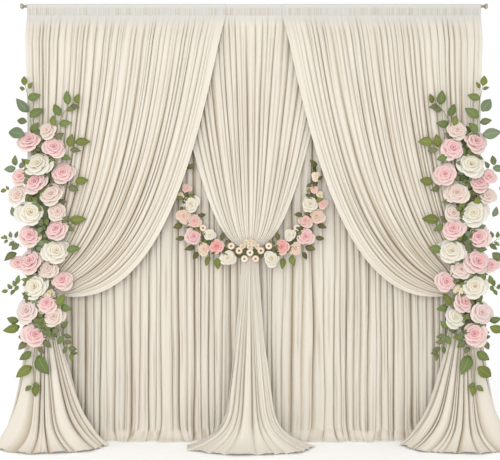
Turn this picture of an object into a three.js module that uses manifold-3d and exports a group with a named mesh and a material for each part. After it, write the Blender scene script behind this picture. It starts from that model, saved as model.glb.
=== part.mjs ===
// Wedding backdrop curtain on its rod, with its flower garlands.
// Millimetres, +Z up, the front faces -Y, and the floor is Z = 0.
// A straight back curtain hangs from a rod pocket. A centre panel and two side panels are sewn to
// the pocket in front of it, drawn in at a gather and let fall as flared tails onto the floor.

import * as THREE from 'three';
import { mergeVertices } from 'three/addons/utils/BufferGeometryUtils.js';
import Module from 'manifold-3d';

const wasm = await Module();
wasm.setup();

// Rod and end knobs
const ROD_RADIUS = 9.5;
const ROD_HALF_LENGTH = 1560;
const ROD_Z = 2915;
const ROD_Y = 162;
const ROD_SIDES = 16;
const KNOB_SEAT = 1550;
const KNOB_SIDES = 12;
const FIT_GAP = 0.3;
const KNOB_WALL = 2.4;
const KNOB_TURNING = [
  { r: 17.5, y: 6 }, { r: 19, y: 11 }, { r: 17.8, y: 16 }, { r: 11, y: 21.5 }, { r: 0, y: 23 },
];

// Cloth
const CLOTH = 2;
const RIDGE_START = 0.3;
const RIDGE_END = 0.7;
const HALF_WIDTH = 1522;
const SEAM_Z = 2853;
const LAYER_GAP = 0.4;
const FLOOR_CLEAR = 2.2;

// Rod pocket: octagonal loop round the rod, drawn in to the seam below it
const POCKET_INNER = 10.7;
const POCKET_OUTER = 12.85;
const POCKET_STEP = Math.PI / 4;
const SEAM_HALF = 2;
const SEAM_TUCK = 4;

// Folds of the back curtain: share of the width, share of the depth
const BACK_FOLDS = [
  { width: 1.3, depth: 0.8 }, { width: 0.9, depth: 1.0 }, { width: 1.5, depth: 0.9 },
  { width: 1.1, depth: 0.7 }, { width: 1.3, depth: 1.0 }, { width: 1.3, depth: 0.8 },
  { width: 1.7, depth: 1.0 }, { width: 1.4, depth: 0.9 }, { width: 1.8, depth: 1.0 },
  { width: 1.4, depth: 0.8 }, { width: 1.5, depth: 0.9 }, { width: 0.7, depth: 0.7 },
  { width: 1.6, depth: 1.0 }, { width: 1.5, depth: 0.8 }, { width: 1.5, depth: 0.8 },
  { width: 1.3, depth: 0.9 }, { width: 1.9, depth: 1.0 }, { width: 1.9, depth: 0.9 },
  { width: 1.3, depth: 0.8 }, { width: 1.3, depth: 1.0 }, { width: 1.3, depth: 0.7 },
  { width: 1.4, depth: 0.9 }, { width: 1.4, depth: 1.0 }, { width: 1.9, depth: 0.9 },
  { width: 0.9, depth: 0.7 }, { width: 1.4, depth: 1.0 }, { width: 1.3, depth: 0.8 },
];
const BACK_RIDGE = 44;

// Rows of the back curtain under its seam: height, distance in front of the rod, depth of its folds
const BACK_ROWS = [
  { z: SEAM_Z - 400, forward: 0, ridge: BACK_RIDGE },
  { z: 190, forward: 4, ridge: BACK_RIDGE },
  { z: 30, forward: 28, ridge: 0.7 * BACK_RIDGE },
  { z: FLOOR_CLEAR, forward: 66, ridge: 4 },
];

// Side panels: control net of the swag, across the cloth in four columns, as [x, z]
const SWAG_NET = [
  { row: 'heading', edge: [-1522, 2853], outer: [-1075, 2853], inner: [-630, 2853], lead: [-188, 2853] },
  { row: 'upper', edge: [-1490, 2060], outer: [-1105, 2280], inner: [-710, 1740], lead: [-325, 2265] },
  { row: 'lower', edge: [-1484, 1620], outer: [-1290, 1440], inner: [-785, 1440], lead: [-535, 825] },
  { row: 'tie', edge: [-1480, 1150], outer: [-1415, 1095], inner: [-1350, 1040], lead: [-1285, 985] },
];
const SWAG_ROWS = [0, 0.045, 0.12, 0.25, 0.39, 0.54, 0.68, 0.81, 0.92];
const SIDE_BASE = 70;
const SIDE_SETTLE = 200;
const SIDE_RIDGE = 34;
const TIE_RIDGE = 11;
const TIE_FORWARD = 34;
const TIE_BUNCH = 30;
const TIE_START = 0.7;
const SWAG_BILLOW = 24;
const FOLD_START = 0.09;

// Tails: a half bell that runs out over the floor
const BELL_TURN = THREE.MathUtils.degToRad(105);
const TAIL_ROWS = [0, 0.15, 0.42, 0.67, 0.83, 0.935, 1];
const TAIL_RIDGE = 30;
const TAIL_CURVE = 1.15;
const TAIL_OPEN = 0.5;
const HEM_RIDGE = 9;
const HEM_START = 0.8;
const SIDE_TAIL = {
  x: -1344, reach: 380, back: 155, front: 180, slack: 0.25, slope: 0.55, sweep: 0.45, turn: 9,
};

const LEFT_FOLDS = [
  { width: 6, depth: 0.7 }, { width: 9, depth: 0.9 }, { width: 15, depth: 1.0 }, { width: 14, depth: 0.9 },
  { width: 11, depth: 1.0 }, { width: 12, depth: 0.9 }, { width: 20, depth: 1.0 }, { width: 13, depth: 0.8 },
  { width: 12, depth: 0.9 }, { width: 16, depth: 1.0 }, { width: 16, depth: 0.9 }, { width: 15, depth: 1.0 },
  { width: 14, depth: 0.8 }, { width: 21, depth: 0.3 },
];
const RIGHT_FOLDS = [
  { width: 7, depth: 0.8 }, { width: 14, depth: 0.8 }, { width: 11, depth: 1.0 }, { width: 18, depth: 0.9 },
  { width: 12, depth: 0.9 }, { width: 15, depth: 1.0 }, { width: 12, depth: 0.8 }, { width: 15, depth: 1.0 },
  { width: 11, depth: 0.8 }, { width: 12, depth: 1.0 }, { width: 18, depth: 0.9 }, { width: 14, depth: 1.0 },
  { width: 16, depth: 0.9 }, { width: 20, depth: 0.3 },
];

// Centre panel: drawn in from the heading to a knot, by a power of the height that is left
const KNOT_X = -27;
const KNOT_TOP = 1313;
const KNOT_BOTTOM = 1240;
const KNOT_HALF = 62;
const CENTRE_HALF = 566;
const CENTRE_DRAW = 0.52;
const CENTRE_BASE = 30;
const CENTRE_SETTLE = 300;
const CENTRE_RIDGE = 32;
const CENTRE_FREE_Z = 1890;
const KNOT_FORWARD = 62;
const KNOT_BUNCH = 22;
const KNOT_RIDGE = 8;
const RIDGE_DROP = 600;
const CENTRE_HEIGHTS = [2853, 2553, 2210, 1890, 1650, 1470, 1350];
const CENTRE_TAIL_ROWS = [0, 0.2, 0.55, 0.79, 0.9, 0.96, 1];
const CENTRE_TAIL = {
  x: -27, reach: 403, back: 200, front: 165, slack: 0, slope: 0.27, sweep: 0.73, turn: 18,
};
const CENTRE_FOLDS = [
  { width: 7, depth: 0.4 }, { width: 10, depth: 0.9 }, { width: 9, depth: 1.0 }, { width: 12, depth: 0.9 },
  { width: 9, depth: 1.0 }, { width: 8, depth: 0.8 }, { width: 11, depth: 1.0 }, { width: 9, depth: 0.9 },
  { width: 12, depth: 1.0 }, { width: 10, depth: 0.8 }, { width: 11, depth: 1.0 }, { width: 7, depth: 0.4 },
];

// Garlands: a leafy band that carries the roses, with sprigs and loose leaves round it
const BAND_HALF = 13;
const BAND_TAPER = 0.28;
const PATH_STEPS = 60;

// Half outline of a rose and of a bead, in shares of their size
const ROSE_OUTLINE = [{ r: 0, y: -0.25 }, { r: 0.96, y: 0.04 }, { r: 0.66, y: 0.5 }, { r: 0, y: 0.4 }];
const ROSE_SIDES = 5;
const ROSE_SEAT = 0.05;
const BEAD_OUTLINE = [{ r: 0, y: -0.7 }, { r: 0.95, y: 0 }, { r: 0.6, y: 0.5 }, { r: 0, y: 0.45 }];
const BEAD_SIDES = 6;
const BEAD_SEAT = 0.2;

// Leaves: the shares are of a leaf's length, of its band's width and of its sprig's length
const LEAF_THICK = 6;
const LEAF_WIDE = 0.55;
const LEAF_MIDDLE = 0.45;
const LEAF_TUCK = 0.36;
const STEM = 3;
const SPRIG_START = 0.3;
const SPRIG_END = 0.92;
const SPRIG_ANGLE = THREE.MathUtils.degToRad(48);
const TIP_LEAF = 0.85;

const SIDE_BAND = [
  { x: -1395, z: 2090, depth: 124.9 },
  { x: -1400, z: 1760, depth: 126.9 },
  { x: -1390, z: 1450, depth: 130.9 },
  { x: -1385, z: 1200, depth: 150.9 },
  { x: -1385, z: 1000, depth: 164.9 },
  { x: -1380, z: 850, depth: 174.9 },
  { x: -1395, z: 690, depth: 189.1 },
];
const SIDE_BAND_WIDTH = 240;
const CENTRE_BAND = [
  { x: -462, z: 1700, depth: 52 },
  { x: -440, z: 1500, depth: 62 },
  { x: -350, z: 1350, depth: 86 },
  { x: -205, z: 1265, depth: 118 },
  { x: -27, z: 1260, depth: 139.3 },
  { x: 151, z: 1265, depth: 118 },
  { x: 296, z: 1350, depth: 86 },
  { x: 390, z: 1510, depth: 62 },
  { x: 405, z: 1830, depth: 52 },
];
const CENTRE_BAND_WIDTH = 108;

const LEFT_ROSES = [
  { x: -1350, z: 2055, size: 59 }, { x: -1460, z: 1985, size: 78 }, { x: -1310, z: 1945, size: 72 },
  { x: -1405, z: 1835, size: 88 }, { x: -1245, z: 1775, size: 72 }, { x: -1530, z: 1755, size: 52 },
  { x: -1425, z: 1720, size: 75 }, { x: -1540, z: 1640, size: 59 }, { x: -1320, z: 1640, size: 78 },
  { x: -1460, z: 1520, size: 85 }, { x: -1285, z: 1525, size: 59 }, { x: -1285, z: 1410, size: 72 },
  { x: -1460, z: 1370, size: 72 }, { x: -1285, z: 1265, size: 85 }, { x: -1535, z: 1195, size: 46 },
  { x: -1445, z: 1200, size: 81 }, { x: -1335, z: 1155, size: 65 }, { x: -1245, z: 1080, size: 65 },
  { x: -1415, z: 1040, size: 81 }, { x: -1330, z: 1000, size: 33 }, { x: -1340, z: 935, size: 68 },
  { x: -1465, z: 885, size: 72 }, { x: -1290, z: 845, size: 68 }, { x: -1415, z: 730, size: 78 },
];
const RIGHT_ROSES = [
  { x: 1325, z: 2060, size: 59 }, { x: 1440, z: 1980, size: 78 }, { x: 1295, z: 1940, size: 72 },
  { x: 1410, z: 1830, size: 88 }, { x: 1250, z: 1770, size: 72 }, { x: 1530, z: 1755, size: 52 },
  { x: 1465, z: 1710, size: 65 }, { x: 1325, z: 1650, size: 78 }, { x: 1530, z: 1630, size: 55 },
  { x: 1435, z: 1515, size: 85 }, { x: 1295, z: 1520, size: 59 }, { x: 1300, z: 1415, size: 72 },
  { x: 1465, z: 1365, size: 72 }, { x: 1285, z: 1265, size: 85 }, { x: 1445, z: 1200, size: 81 },
  { x: 1545, z: 1180, size: 46 }, { x: 1340, z: 1150, size: 65 }, { x: 1240, z: 1075, size: 65 },
  { x: 1430, z: 1040, size: 81 }, { x: 1325, z: 1020, size: 33 }, { x: 1355, z: 940, size: 68 },
  { x: 1465, z: 875, size: 72 }, { x: 1295, z: 845, size: 68 }, { x: 1420, z: 735, size: 78 },
];
const CENTRE_ROSES = [
  { x: -445, z: 1685, size: 33 }, { x: -415, z: 1580, size: 59 }, { x: -465, z: 1500, size: 53 },
  { x: -395, z: 1465, size: 49 }, { x: -400, z: 1365, size: 59 }, { x: -290, z: 1375, size: 39 },
  { x: -330, z: 1285, size: 43 }, { x: -245, z: 1300, size: 49 }, { x: -170, z: 1220, size: 59 },
  { x: 110, z: 1220, size: 59 }, { x: 185, z: 1300, size: 49 }, { x: 270, z: 1285, size: 43 },
  { x: 235, z: 1375, size: 39 }, { x: 340, z: 1365, size: 59 }, { x: 340, z: 1470, size: 49 },
  { x: 415, z: 1500, size: 53 }, { x: 370, z: 1580, size: 53 }, { x: 455, z: 1580, size: 36 },
  { x: 395, z: 1685, size: 33 }, { x: 410, z: 1765, size: 33 },
];
const BEADS = [
  { x: -150, z: 1305 }, { x: -98, z: 1275 }, { x: -27, z: 1262 }, { x: 44, z: 1275 }, { x: 96, z: 1305 },
  { x: -63, z: 1222 }, { x: 9, z: 1222 }, { x: -60, z: 1312 }, { x: -27, z: 1325 }, { x: 6, z: 1312 },
];
const BEAD_SIZE = 25;

// Sprigs: from a root to a tip, with leaves by turns on either side and one at the tip
const LEFT_SPRIGS = [
  { root: { x: -1440, z: 2040 }, tip: { x: -1495, depth: 118, z: 2330 }, bow: 16, leaves: 6, leaf: 95 },
  { root: { x: -1310, z: 2050 }, tip: { x: -1225, depth: 122, z: 2230 }, bow: -14, leaves: 6, leaf: 76 },
  { root: { x: -1405, z: 720 }, tip: { x: -1405, depth: 262, z: 400 }, bow: 12, leaves: 5, leaf: 92 },
];

// Loose leaves: where the middle of the leaf is, its length and the way it points, in degrees
const LEFT_LEAVES = [
  { x: -1565, z: 2050, length: 115, turn: 175 }, { x: -1200, z: 2005, length: 80, turn: 65 },
  { x: -1120, z: 1990, length: 95, turn: 5 }, { x: -1185, z: 1930, length: 80, turn: -5 },
  { x: -1235, z: 1885, length: 75, turn: -10 }, { x: -1570, z: 1870, length: 66, turn: 95 },
  { x: -1600, z: 1810, length: 75, turn: 200 }, { x: -1145, z: 1735, length: 85, turn: 10 },
  { x: -1190, z: 1690, length: 75, turn: -25 }, { x: -1630, z: 1665, length: 56, turn: 180 },
  { x: -1165, z: 1490, length: 95, turn: 10 }, { x: -1205, z: 1430, length: 75, turn: -20 },
  { x: -1190, z: 1285, length: 75, turn: -10 }, { x: -1585, z: 1240, length: 75, turn: 190 },
  { x: -1610, z: 1030, length: 90, turn: 190 }, { x: -1560, z: 800, length: 105, turn: 200 },
  { x: -1180, z: 920, length: 90, turn: 5 }, { x: -1210, z: 800, length: 75, turn: -20 },
];
const CENTRE_LEAVES = [
  { x: -392, z: 1215, length: 62, turn: 215 }, { x: -310, z: 1210, length: 62, turn: 250 },
  { x: -240, z: 1190, length: 66, turn: 265 }, { x: -205, z: 1370, length: 58, turn: 75 },
  { x: -340, z: 1500, length: 58, turn: 5 }, { x: -475, z: 1420, length: 52, turn: 200 },
  { x: 335, z: 1215, length: 62, turn: -35 }, { x: 255, z: 1210, length: 62, turn: -70 },
  { x: 185, z: 1190, length: 66, turn: -85 }, { x: 150, z: 1370, length: 58, turn: 105 },
  { x: 285, z: 1500, length: 58, turn: 175 }, { x: 425, z: 1420, length: 52, turn: -20 },
  { x: 368, z: 1835, length: 62, turn: 130 },
];

const IVORY = new THREE.MeshStandardMaterial({ color: 0xe9dcc6, roughness: 0.72 });
const IVORY_BACK = new THREE.MeshStandardMaterial({ color: 0xe2d4bd, roughness: 0.74 });
const BRASS = new THREE.MeshStandardMaterial({ color: 0xa87f55, roughness: 0.32, metalness: 1 });
const BLOOM = new THREE.MeshStandardMaterial({ color: 0xeebcc1, roughness: 0.7 });

const { lerp, clamp, smoothstep, degToRad } = THREE.MathUtils;

// A point by its place across, its distance in front of the rod, and its height
function place(x, depth, z) {
  return new THREE.Vector3(x, ROD_Y - depth, z);
}

// Columns of a folded sheet: each fold rises from a valley to a flat-topped ridge
function foldColumns(folds) {
  const total = folds.reduce((sum, fold) => sum + fold.width, 0);
  const columns = [];
  let start = 0;
  for (const fold of folds) {
    const width = fold.width / total;
    columns.push({ share: start, height: 0 });
    columns.push({ share: start + RIDGE_START * width, height: fold.depth });
    columns.push({ share: start + RIDGE_END * width, height: fold.depth });
    start += width;
  }
  columns.push({ share: 1, height: 0 });
  return columns;
}

// Surface directions of a grid of points, by the difference between neighbours
function gridNormals(grid) {
  const lastRow = grid.length - 1;
  const lastColumn = grid[0].length - 1;
  return grid.map((line, j) => line.map((point, i) => {
    const across = line[Math.min(i + 1, lastColumn)].clone().sub(line[Math.max(i - 1, 0)]);
    const below = grid[Math.min(j + 1, lastRow)][i].clone().sub(grid[Math.max(j - 1, 0)][i]);
    return below.cross(across).normalize();
  }));
}

// A closed sheet of even thickness round a grid of middle points
function sheetFromGrid(grid, thickness) {
  const normals = gridNormals(grid);
  const rowCount = grid.length;
  const columnCount = grid[0].length;
  const positions = [];
  for (const side of [0.5, -0.5]) {
    grid.forEach((line, j) => line.forEach((point, i) => {
      const skin = point.clone().addScaledVector(normals[j][i], side * thickness);
      positions.push(skin.x, skin.y, skin.z);
    }));
  }
  const back = rowCount * columnCount;
  const at = (j, i) => j * columnCount + i;
  const index = [];
  const quad = (a, b, c, d) => index.push(a, b, c, a, c, d);
  for (let j = 0; j < rowCount - 1; j += 1) {
    for (let i = 0; i < columnCount - 1; i += 1) {
      quad(at(j, i), at(j + 1, i), at(j + 1, i + 1), at(j, i + 1));
      quad(back + at(j, i), back + at(j, i + 1), back + at(j + 1, i + 1), back + at(j + 1, i));
    }
    const last = columnCount - 1;
    quad(at(j, 0), back + at(j, 0), back + at(j + 1, 0), at(j + 1, 0));
    quad(at(j + 1, last), back + at(j + 1, last), back + at(j, last), at(j, last));
  }
  for (let i = 0; i < columnCount - 1; i += 1) {
    const last = rowCount - 1;
    quad(at(0, i + 1), back + at(0, i + 1), back + at(0, i), at(0, i));
    quad(at(last, i), back + at(last, i), back + at(last, i + 1), at(last, i + 1));
  }
  const geometry = new THREE.BufferGeometry();
  geometry.setAttribute('position', new THREE.Float32BufferAttribute(positions, 3));
  geometry.setIndex(index);
  return geometry;
}

// A sheet whose folds stand out from a smooth base. Each row gives its base line and fold depth
function foldedSheet(columns, rows) {
  const base = rows.map((row) => columns.map((column) => row.line(column.share)));
  const normals = gridNormals(base);
  const grid = base.map((line, j) => line.map((point, i) => (
    point.clone().addScaledVector(normals[j][i], rows[j].ridge * columns[i].height)
  )));
  return sheetFromGrid(grid, CLOTH);
}

// The other hand of a piece: mirrored across X, with its faces turned out again
function mirrored(geometry) {
  const copy = geometry.clone();
  copy.scale(-1, 1, 1);
  const index = copy.getIndex();
  for (let i = 0; i < index.count; i += 3) {
    const second = index.getX(i + 1);
    index.setX(i + 1, index.getX(i + 2));
    index.setX(i + 2, second);
  }
  return copy;
}

function toSolid(geometry) {
  const bare = geometry.clone();
  bare.deleteAttribute('normal');
  bare.deleteAttribute('uv');
  const merged = mergeVertices(bare, 1e-3);
  const mesh = new wasm.Mesh({
    numProp: 3,
    vertProperties: new Float32Array(merged.getAttribute('position').array),
    triVerts: new Uint32Array(merged.getIndex().array),
  });
  return new wasm.Manifold(mesh);
}

function toGeometry(solid) {
  const mesh = solid.getMesh();
  const geometry = new THREE.BufferGeometry();
  geometry.setAttribute('position', new THREE.BufferAttribute(new Float32Array(mesh.vertProperties), 3));
  geometry.setIndex(new THREE.BufferAttribute(new Uint32Array(mesh.triVerts), 1));
  return geometry;
}

function joined(geometries) {
  return toGeometry(geometries.map(toSolid).reduce((whole, piece) => whole.add(piece)));
}

function makeMesh(name, geometry, material) {
  const mesh = new THREE.Mesh(geometry, material);
  mesh.name = name;
  return mesh;
}

// Rod and knobs: a turned knob whose socket slips over the end of the rod
function rodGeometry() {
  const rod = new THREE.CylinderGeometry(ROD_RADIUS, ROD_RADIUS, 2 * ROD_HALF_LENGTH, ROD_SIDES);
  rod.rotateZ(Math.PI / 2);
  rod.translate(0, ROD_Y, ROD_Z);
  return rod;
}

function knobGeometry() {
  const bore = (ROD_RADIUS + FIT_GAP) / Math.cos(Math.PI / KNOB_SIDES);
  const socket = ROD_HALF_LENGTH - KNOB_SEAT + FIT_GAP;
  const neck = bore + KNOB_WALL;
  const profile = [
    { r: 0, y: socket }, { r: bore, y: socket }, { r: bore, y: 0 }, { r: neck, y: 0 }, { r: neck, y: 3 },
    ...KNOB_TURNING,
  ];
  const knob = new THREE.LatheGeometry(profile.map(({ r, y }) => new THREE.Vector2(r, y)), KNOB_SIDES);
  knob.rotateZ(-Math.PI / 2);
  knob.translate(KNOB_SEAT, ROD_Y, ROD_Z);
  return knob;
}

// Rod pocket of the back curtain, as a loop with a tunnel for the rod
function pocketGeometry() {
  const loop = (radius, foot, footZ) => {
    const points = [];
    for (let step = 0; step <= 4; step += 1) {
      const angle = step * POCKET_STEP;
      points.push(new THREE.Vector2(radius * Math.cos(angle), ROD_Z + radius * Math.sin(angle)));
    }
    points.push(new THREE.Vector2(-foot, footZ));
    if (foot > 0) points.push(new THREE.Vector2(foot, footZ));
    return points;
  };
  const outline = new THREE.Shape(loop(POCKET_OUTER, SEAM_HALF, SEAM_Z));
  outline.holes.push(new THREE.Path(loop(POCKET_INNER, 0, SEAM_Z + SEAM_TUCK)));
  const pocket = new THREE.ExtrudeGeometry(outline, { depth: 2 * HALF_WIDTH, bevelEnabled: false });
  const turn = new THREE.Matrix4().makeBasis(
    new THREE.Vector3(0, 1, 0),
    new THREE.Vector3(0, 0, 1),
    new THREE.Vector3(1, 0, 0),
  );
  pocket.applyMatrix4(turn);
  pocket.translate(-HALF_WIDTH, ROD_Y, 0);
  return pocket;
}

function backCurtain() {
  const seam = { z: SEAM_Z + SEAM_TUCK / 2, forward: 0, ridge: 0 };
  const rows = [seam, ...BACK_ROWS].map(({ z, forward, ridge }) => ({
    ridge,
    line: (share) => place(lerp(-HALF_WIDTH, HALF_WIDTH, share), forward - ridge / 2, z),
  }));
  return joined([pocketGeometry(), foldedSheet(foldColumns(BACK_FOLDS), rows)]);
}

// Heading of a front panel: over the shoulder of the pocket and down to the seam
function headingRows(layer, across) {
  const lift = (CLOTH + LAYER_GAP) * layer - CLOTH / 2;
  const radius = POCKET_OUTER + lift;
  const row = (angle) => ({
    ridge: 0,
    line: (share) => place(across(share), radius * Math.cos(angle), ROD_Z + radius * Math.sin(angle)),
  });
  return [row(POCKET_STEP), row(0)];
}

function layerSeam(layer) {
  return SEAM_HALF + (CLOTH + LAYER_GAP) * layer - CLOTH / 2;
}

// How far a panel has come forward from its seam to its own depth
function settled(z, drop) {
  return clamp((SEAM_Z - z) / drop, 0, 1);
}

// Spread of a tail on its way down: slow at first, then out over the floor
function flare(tail, fall) {
  const loose = Math.max(0, fall - tail.slack) / (1 - tail.slack);
  return tail.slope * loose ** TAIL_CURVE + tail.sweep * fall ** tail.turn;
}

// Base line of a tail: from its place in the gather out to the rim of a half bell
function tailRow(tail, fall, gather, topRidge) {
  const spread = flare(tail, fall);
  const full = smoothstep(fall, 0, TAIL_OPEN);
  const flat = smoothstep(fall, HEM_START, 1);
  const rim = (share) => {
    const turn = (2 * share - 1) * BELL_TURN;
    return new THREE.Vector2(
      tail.x + tail.reach * Math.sin(turn),
      tail.back + tail.front * Math.cos(turn),
    );
  };
  return {
    ridge: lerp(lerp(topRidge, TAIL_RIDGE, full), HEM_RIDGE, flat),
    line: (share) => {
      const top = gather(share);
      const out = rim(share);
      const depth = ROD_Y - top.y;
      return place(
        lerp(top.x, out.x, spread),
        lerp(depth, out.y, spread),
        Math.max(FLOOR_CLEAR, top.z * (1 - fall)),
      );
    },
  };
}

// Cubic weights of a control net at a share from 0 to 1
function netWeights(share) {
  const rest = 1 - share;
  return [rest ** 3, 3 * rest * rest * share, 3 * rest * share * share, share ** 3];
}

function swagPoint(share, fall) {
  const across = netWeights(share);
  const down = netWeights(fall);
  let x = 0;
  let z = 0;
  SWAG_NET.forEach((net, j) => {
    [net.edge, net.outer, net.inner, net.lead].forEach(([netX, netZ], i) => {
      x += down[j] * across[i] * netX;
      z += down[j] * across[i] * netZ;
    });
  });
  const hang = lerp(layerSeam(2), SIDE_BASE, settled(z, SIDE_SETTLE));
  const bunch = TIE_BUNCH * (1 - (2 * share - 1) ** 2) * smoothstep(fall, TIE_START, 1);
  const billow = SWAG_BILLOW * share * 4 * fall * (1 - fall);
  return place(x, hang + TIE_FORWARD * fall ** 3 + bunch + billow, z);
}

// A side panel: heading, swag swept out to the tie, and tail
function sidePanel(folds) {
  const headingX = (share) => swagPoint(share, 0).x;
  const swag = SWAG_ROWS.map((fall) => ({
    ridge: lerp(SIDE_RIDGE, TIE_RIDGE, fall ** 2) * smoothstep(fall, 0, FOLD_START),
    line: (share) => swagPoint(share, fall),
  }));
  const gather = (share) => swagPoint(share, 1);
  const tail = TAIL_ROWS.map((fall) => tailRow(SIDE_TAIL, fall, gather, TIE_RIDGE));
  return foldedSheet(foldColumns(folds), [...headingRows(2, headingX), ...swag, ...tail]);
}

// Centre panel: heading, fan drawn in to the knot, and tail
function centreHalf(z) {
  const left = clamp((z - KNOT_TOP) / (SEAM_Z - KNOT_TOP), 0, 1);
  return KNOT_HALF + (CENTRE_HALF - KNOT_HALF) * left ** CENTRE_DRAW;
}

function centrePoint(share, z) {
  const side = 2 * share - 1;
  const near = smoothstep(CENTRE_FREE_Z - z, 0, CENTRE_FREE_Z - KNOT_TOP);
  const hang = lerp(layerSeam(1), CENTRE_BASE, settled(z, CENTRE_SETTLE));
  const bunch = KNOT_BUNCH * (1 - side * side) * near;
  return place(KNOT_X + side * centreHalf(z), hang + KNOT_FORWARD * near + bunch, z);
}

function centreRidge(drop) {
  return lerp(CENTRE_RIDGE, KNOT_RIDGE, smoothstep(drop, RIDGE_DROP, SEAM_Z - KNOT_TOP));
}

function centrePanel() {
  const headingX = (share) => centrePoint(share, SEAM_Z).x;
  const fan = CENTRE_HEIGHTS.map((z) => ({
    ridge: settled(z, CENTRE_SETTLE) * centreRidge(SEAM_Z - z),
    line: (share) => centrePoint(share, z),
  }));
  const gather = (share) => centrePoint(share, KNOT_BOTTOM);
  const tail = CENTRE_TAIL_ROWS.map((fall) => tailRow(CENTRE_TAIL, fall, gather, KNOT_RIDGE));
  return foldedSheet(foldColumns(CENTRE_FOLDS), [...headingRows(1, headingX), ...fan, ...tail]);
}

// Path of a garland's band, through its table of places
function bandPath(table) {
  return new THREE.CatmullRomCurve3(table.map((row) => place(row.x, row.depth, row.z)));
}

// The band: a flat strip that follows the path and faces the front
function bandGeometry(path, width, steps) {
  const grid = [];
  for (let j = 0; j <= steps; j += 1) {
    const middle = path.getPoint(j / steps);
    const along = path.getTangent(j / steps);
    const side = new THREE.Vector3(-along.z, 0, along.x).normalize();
    const narrow = Math.sqrt(Math.sin(Math.PI * lerp(BAND_TAPER, 1 - BAND_TAPER, j / steps)));
    grid.push([-0.5, 0, 0.5].map((share) => middle.clone().addScaledVector(side, share * width * narrow)));
  }
  return sheetFromGrid(grid, 2 * BAND_HALF);
}

// Depth of the band nearest to a height, or to a place across
function bandDepth(path, x, z) {
  let best = null;
  for (let step = 0; step <= PATH_STEPS; step += 1) {
    const point = path.getPoint(step / PATH_STEPS);
    const distance = Math.hypot(point.x - x, point.z - z);
    if (best === null || distance < best.distance) best = { distance, depth: ROD_Y - point.y };
  }
  return best.depth;
}

// A form turned from its half outline, its face to the front
function turned(outline, size, sides) {
  const points = outline.map(({ r, y }) => new THREE.Vector2(r * size, y * size));
  const form = new THREE.LatheGeometry(points, sides);
  form.rotateX(Math.PI);
  return form;
}

// A form set on the front of the band at its own place
function seated(form, spot, path, lift) {
  const centre = place(spot.x, bandDepth(path, spot.x, spot.z) + BAND_HALF + lift, spot.z);
  form.translate(centre.x, centre.y, centre.z);
  return form;
}

// A rose: an open cup of petals round a standing bud
function roseGeometry(rose, path) {
  const bloom = turned(ROSE_OUTLINE, rose.size, ROSE_SIDES);
  bloom.rotateY(rose.z);
  return seated(bloom, rose, path, ROSE_SEAT * rose.size);
}

// A leaf: a pointed plate from its foot through its widest place to its tip, thickest in the middle
function leafGeometry(foot, middle, tip) {
  const wide = LEAF_WIDE * middle.distanceTo(tip);
  const side = new THREE.Vector3(foot.z - tip.z, 0, tip.x - foot.x).normalize();
  const front = new THREE.Vector3(0, -LEAF_THICK / 2, 0);
  const points = [
    foot,
    middle.clone().addScaledVector(side, -wide),
    tip,
    middle.clone().addScaledVector(side, wide),
    middle.clone().add(front),
    middle.clone().sub(front),
  ];
  const leaf = new THREE.BufferGeometry().setFromPoints(points);
  leaf.setIndex([0, 1, 4, 1, 2, 4, 2, 3, 4, 3, 0, 4, 1, 0, 5, 2, 1, 5, 3, 2, 5, 0, 3, 5]);
  return leaf;
}

// A three-sided stem along a bowed path
function stemGeometry(points) {
  const corner = (turn) => new THREE.Vector2(STEM * Math.cos(turn), STEM * Math.sin(turn));
  const section = new THREE.Shape([0, 2, 4].map((step) => corner((step * Math.PI) / 3)));
  const path = new THREE.QuadraticBezierCurve3(...points);
  return new THREE.ExtrudeGeometry(section, { extrudePath: path, steps: 3, bevelEnabled: false });
}

// A sprig: a bowed stem with leaves by turns on either side and one at its tip
function sprigGeometries(sprig, rootDepth) {
  const root = place(sprig.root.x, rootDepth, sprig.root.z);
  const tip = place(sprig.tip.x, sprig.tip.depth, sprig.tip.z);
  const way = tip.clone().sub(root).normalize();
  const side = new THREE.Vector3(-way.z, 0, way.x).normalize();
  const bend = root.clone().lerp(tip, 0.5).addScaledVector(side, sprig.bow);
  const path = new THREE.QuadraticBezierCurve3(root, bend, tip);
  const pieces = [stemGeometry([root, bend, tip])];
  const leafAt = (share, turn, length) => {
    const foot = path.getPoint(share);
    const out = path.getTangent(share).multiplyScalar(Math.cos(turn)).addScaledVector(side, Math.sin(turn));
    const middle = foot.clone().addScaledVector(out, LEAF_MIDDLE * length);
    return leafGeometry(foot, middle, foot.clone().addScaledVector(out, length));
  };
  for (let count = 0; count < sprig.leaves; count += 1) {
    const share = lerp(SPRIG_START, SPRIG_END, count / sprig.leaves);
    const turn = count % 2 === 0 ? SPRIG_ANGLE : -SPRIG_ANGLE;
    pieces.push(leafAt(share, turn, sprig.leaf * lerp(1.1, 0.8, share)));
  }
  pieces.push(leafAt(0.97, 0, TIP_LEAF * sprig.leaf));
  return pieces;
}

// A loose leaf, its foot tucked under the edge of the band
function looseLeaf(leaf, path, width) {
  let nearest = path.getPoint(0);
  const gap = (point) => Math.hypot(point.x - leaf.x, point.z - leaf.z);
  for (let step = 1; step <= PATH_STEPS; step += 1) {
    const point = path.getPoint(step / PATH_STEPS);
    if (gap(point) < gap(nearest)) nearest = point;
  }
  const middle = new THREE.Vector3(leaf.x, nearest.y, leaf.z);
  const out = middle.clone().sub(nearest).normalize();
  const foot = nearest.clone().addScaledVector(out, LEAF_TUCK * width);
  const turn = degToRad(leaf.turn);
  const reach = (1 - LEAF_MIDDLE) * leaf.length;
  const tip = new THREE.Vector3(Math.cos(turn), 0, Math.sin(turn)).multiplyScalar(reach).add(middle);
  return leafGeometry(foot, middle, tip);
}

function flipX(row) {
  return { ...row, x: -row.x, turn: row.turn === undefined ? undefined : 180 - row.turn };
}

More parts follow.
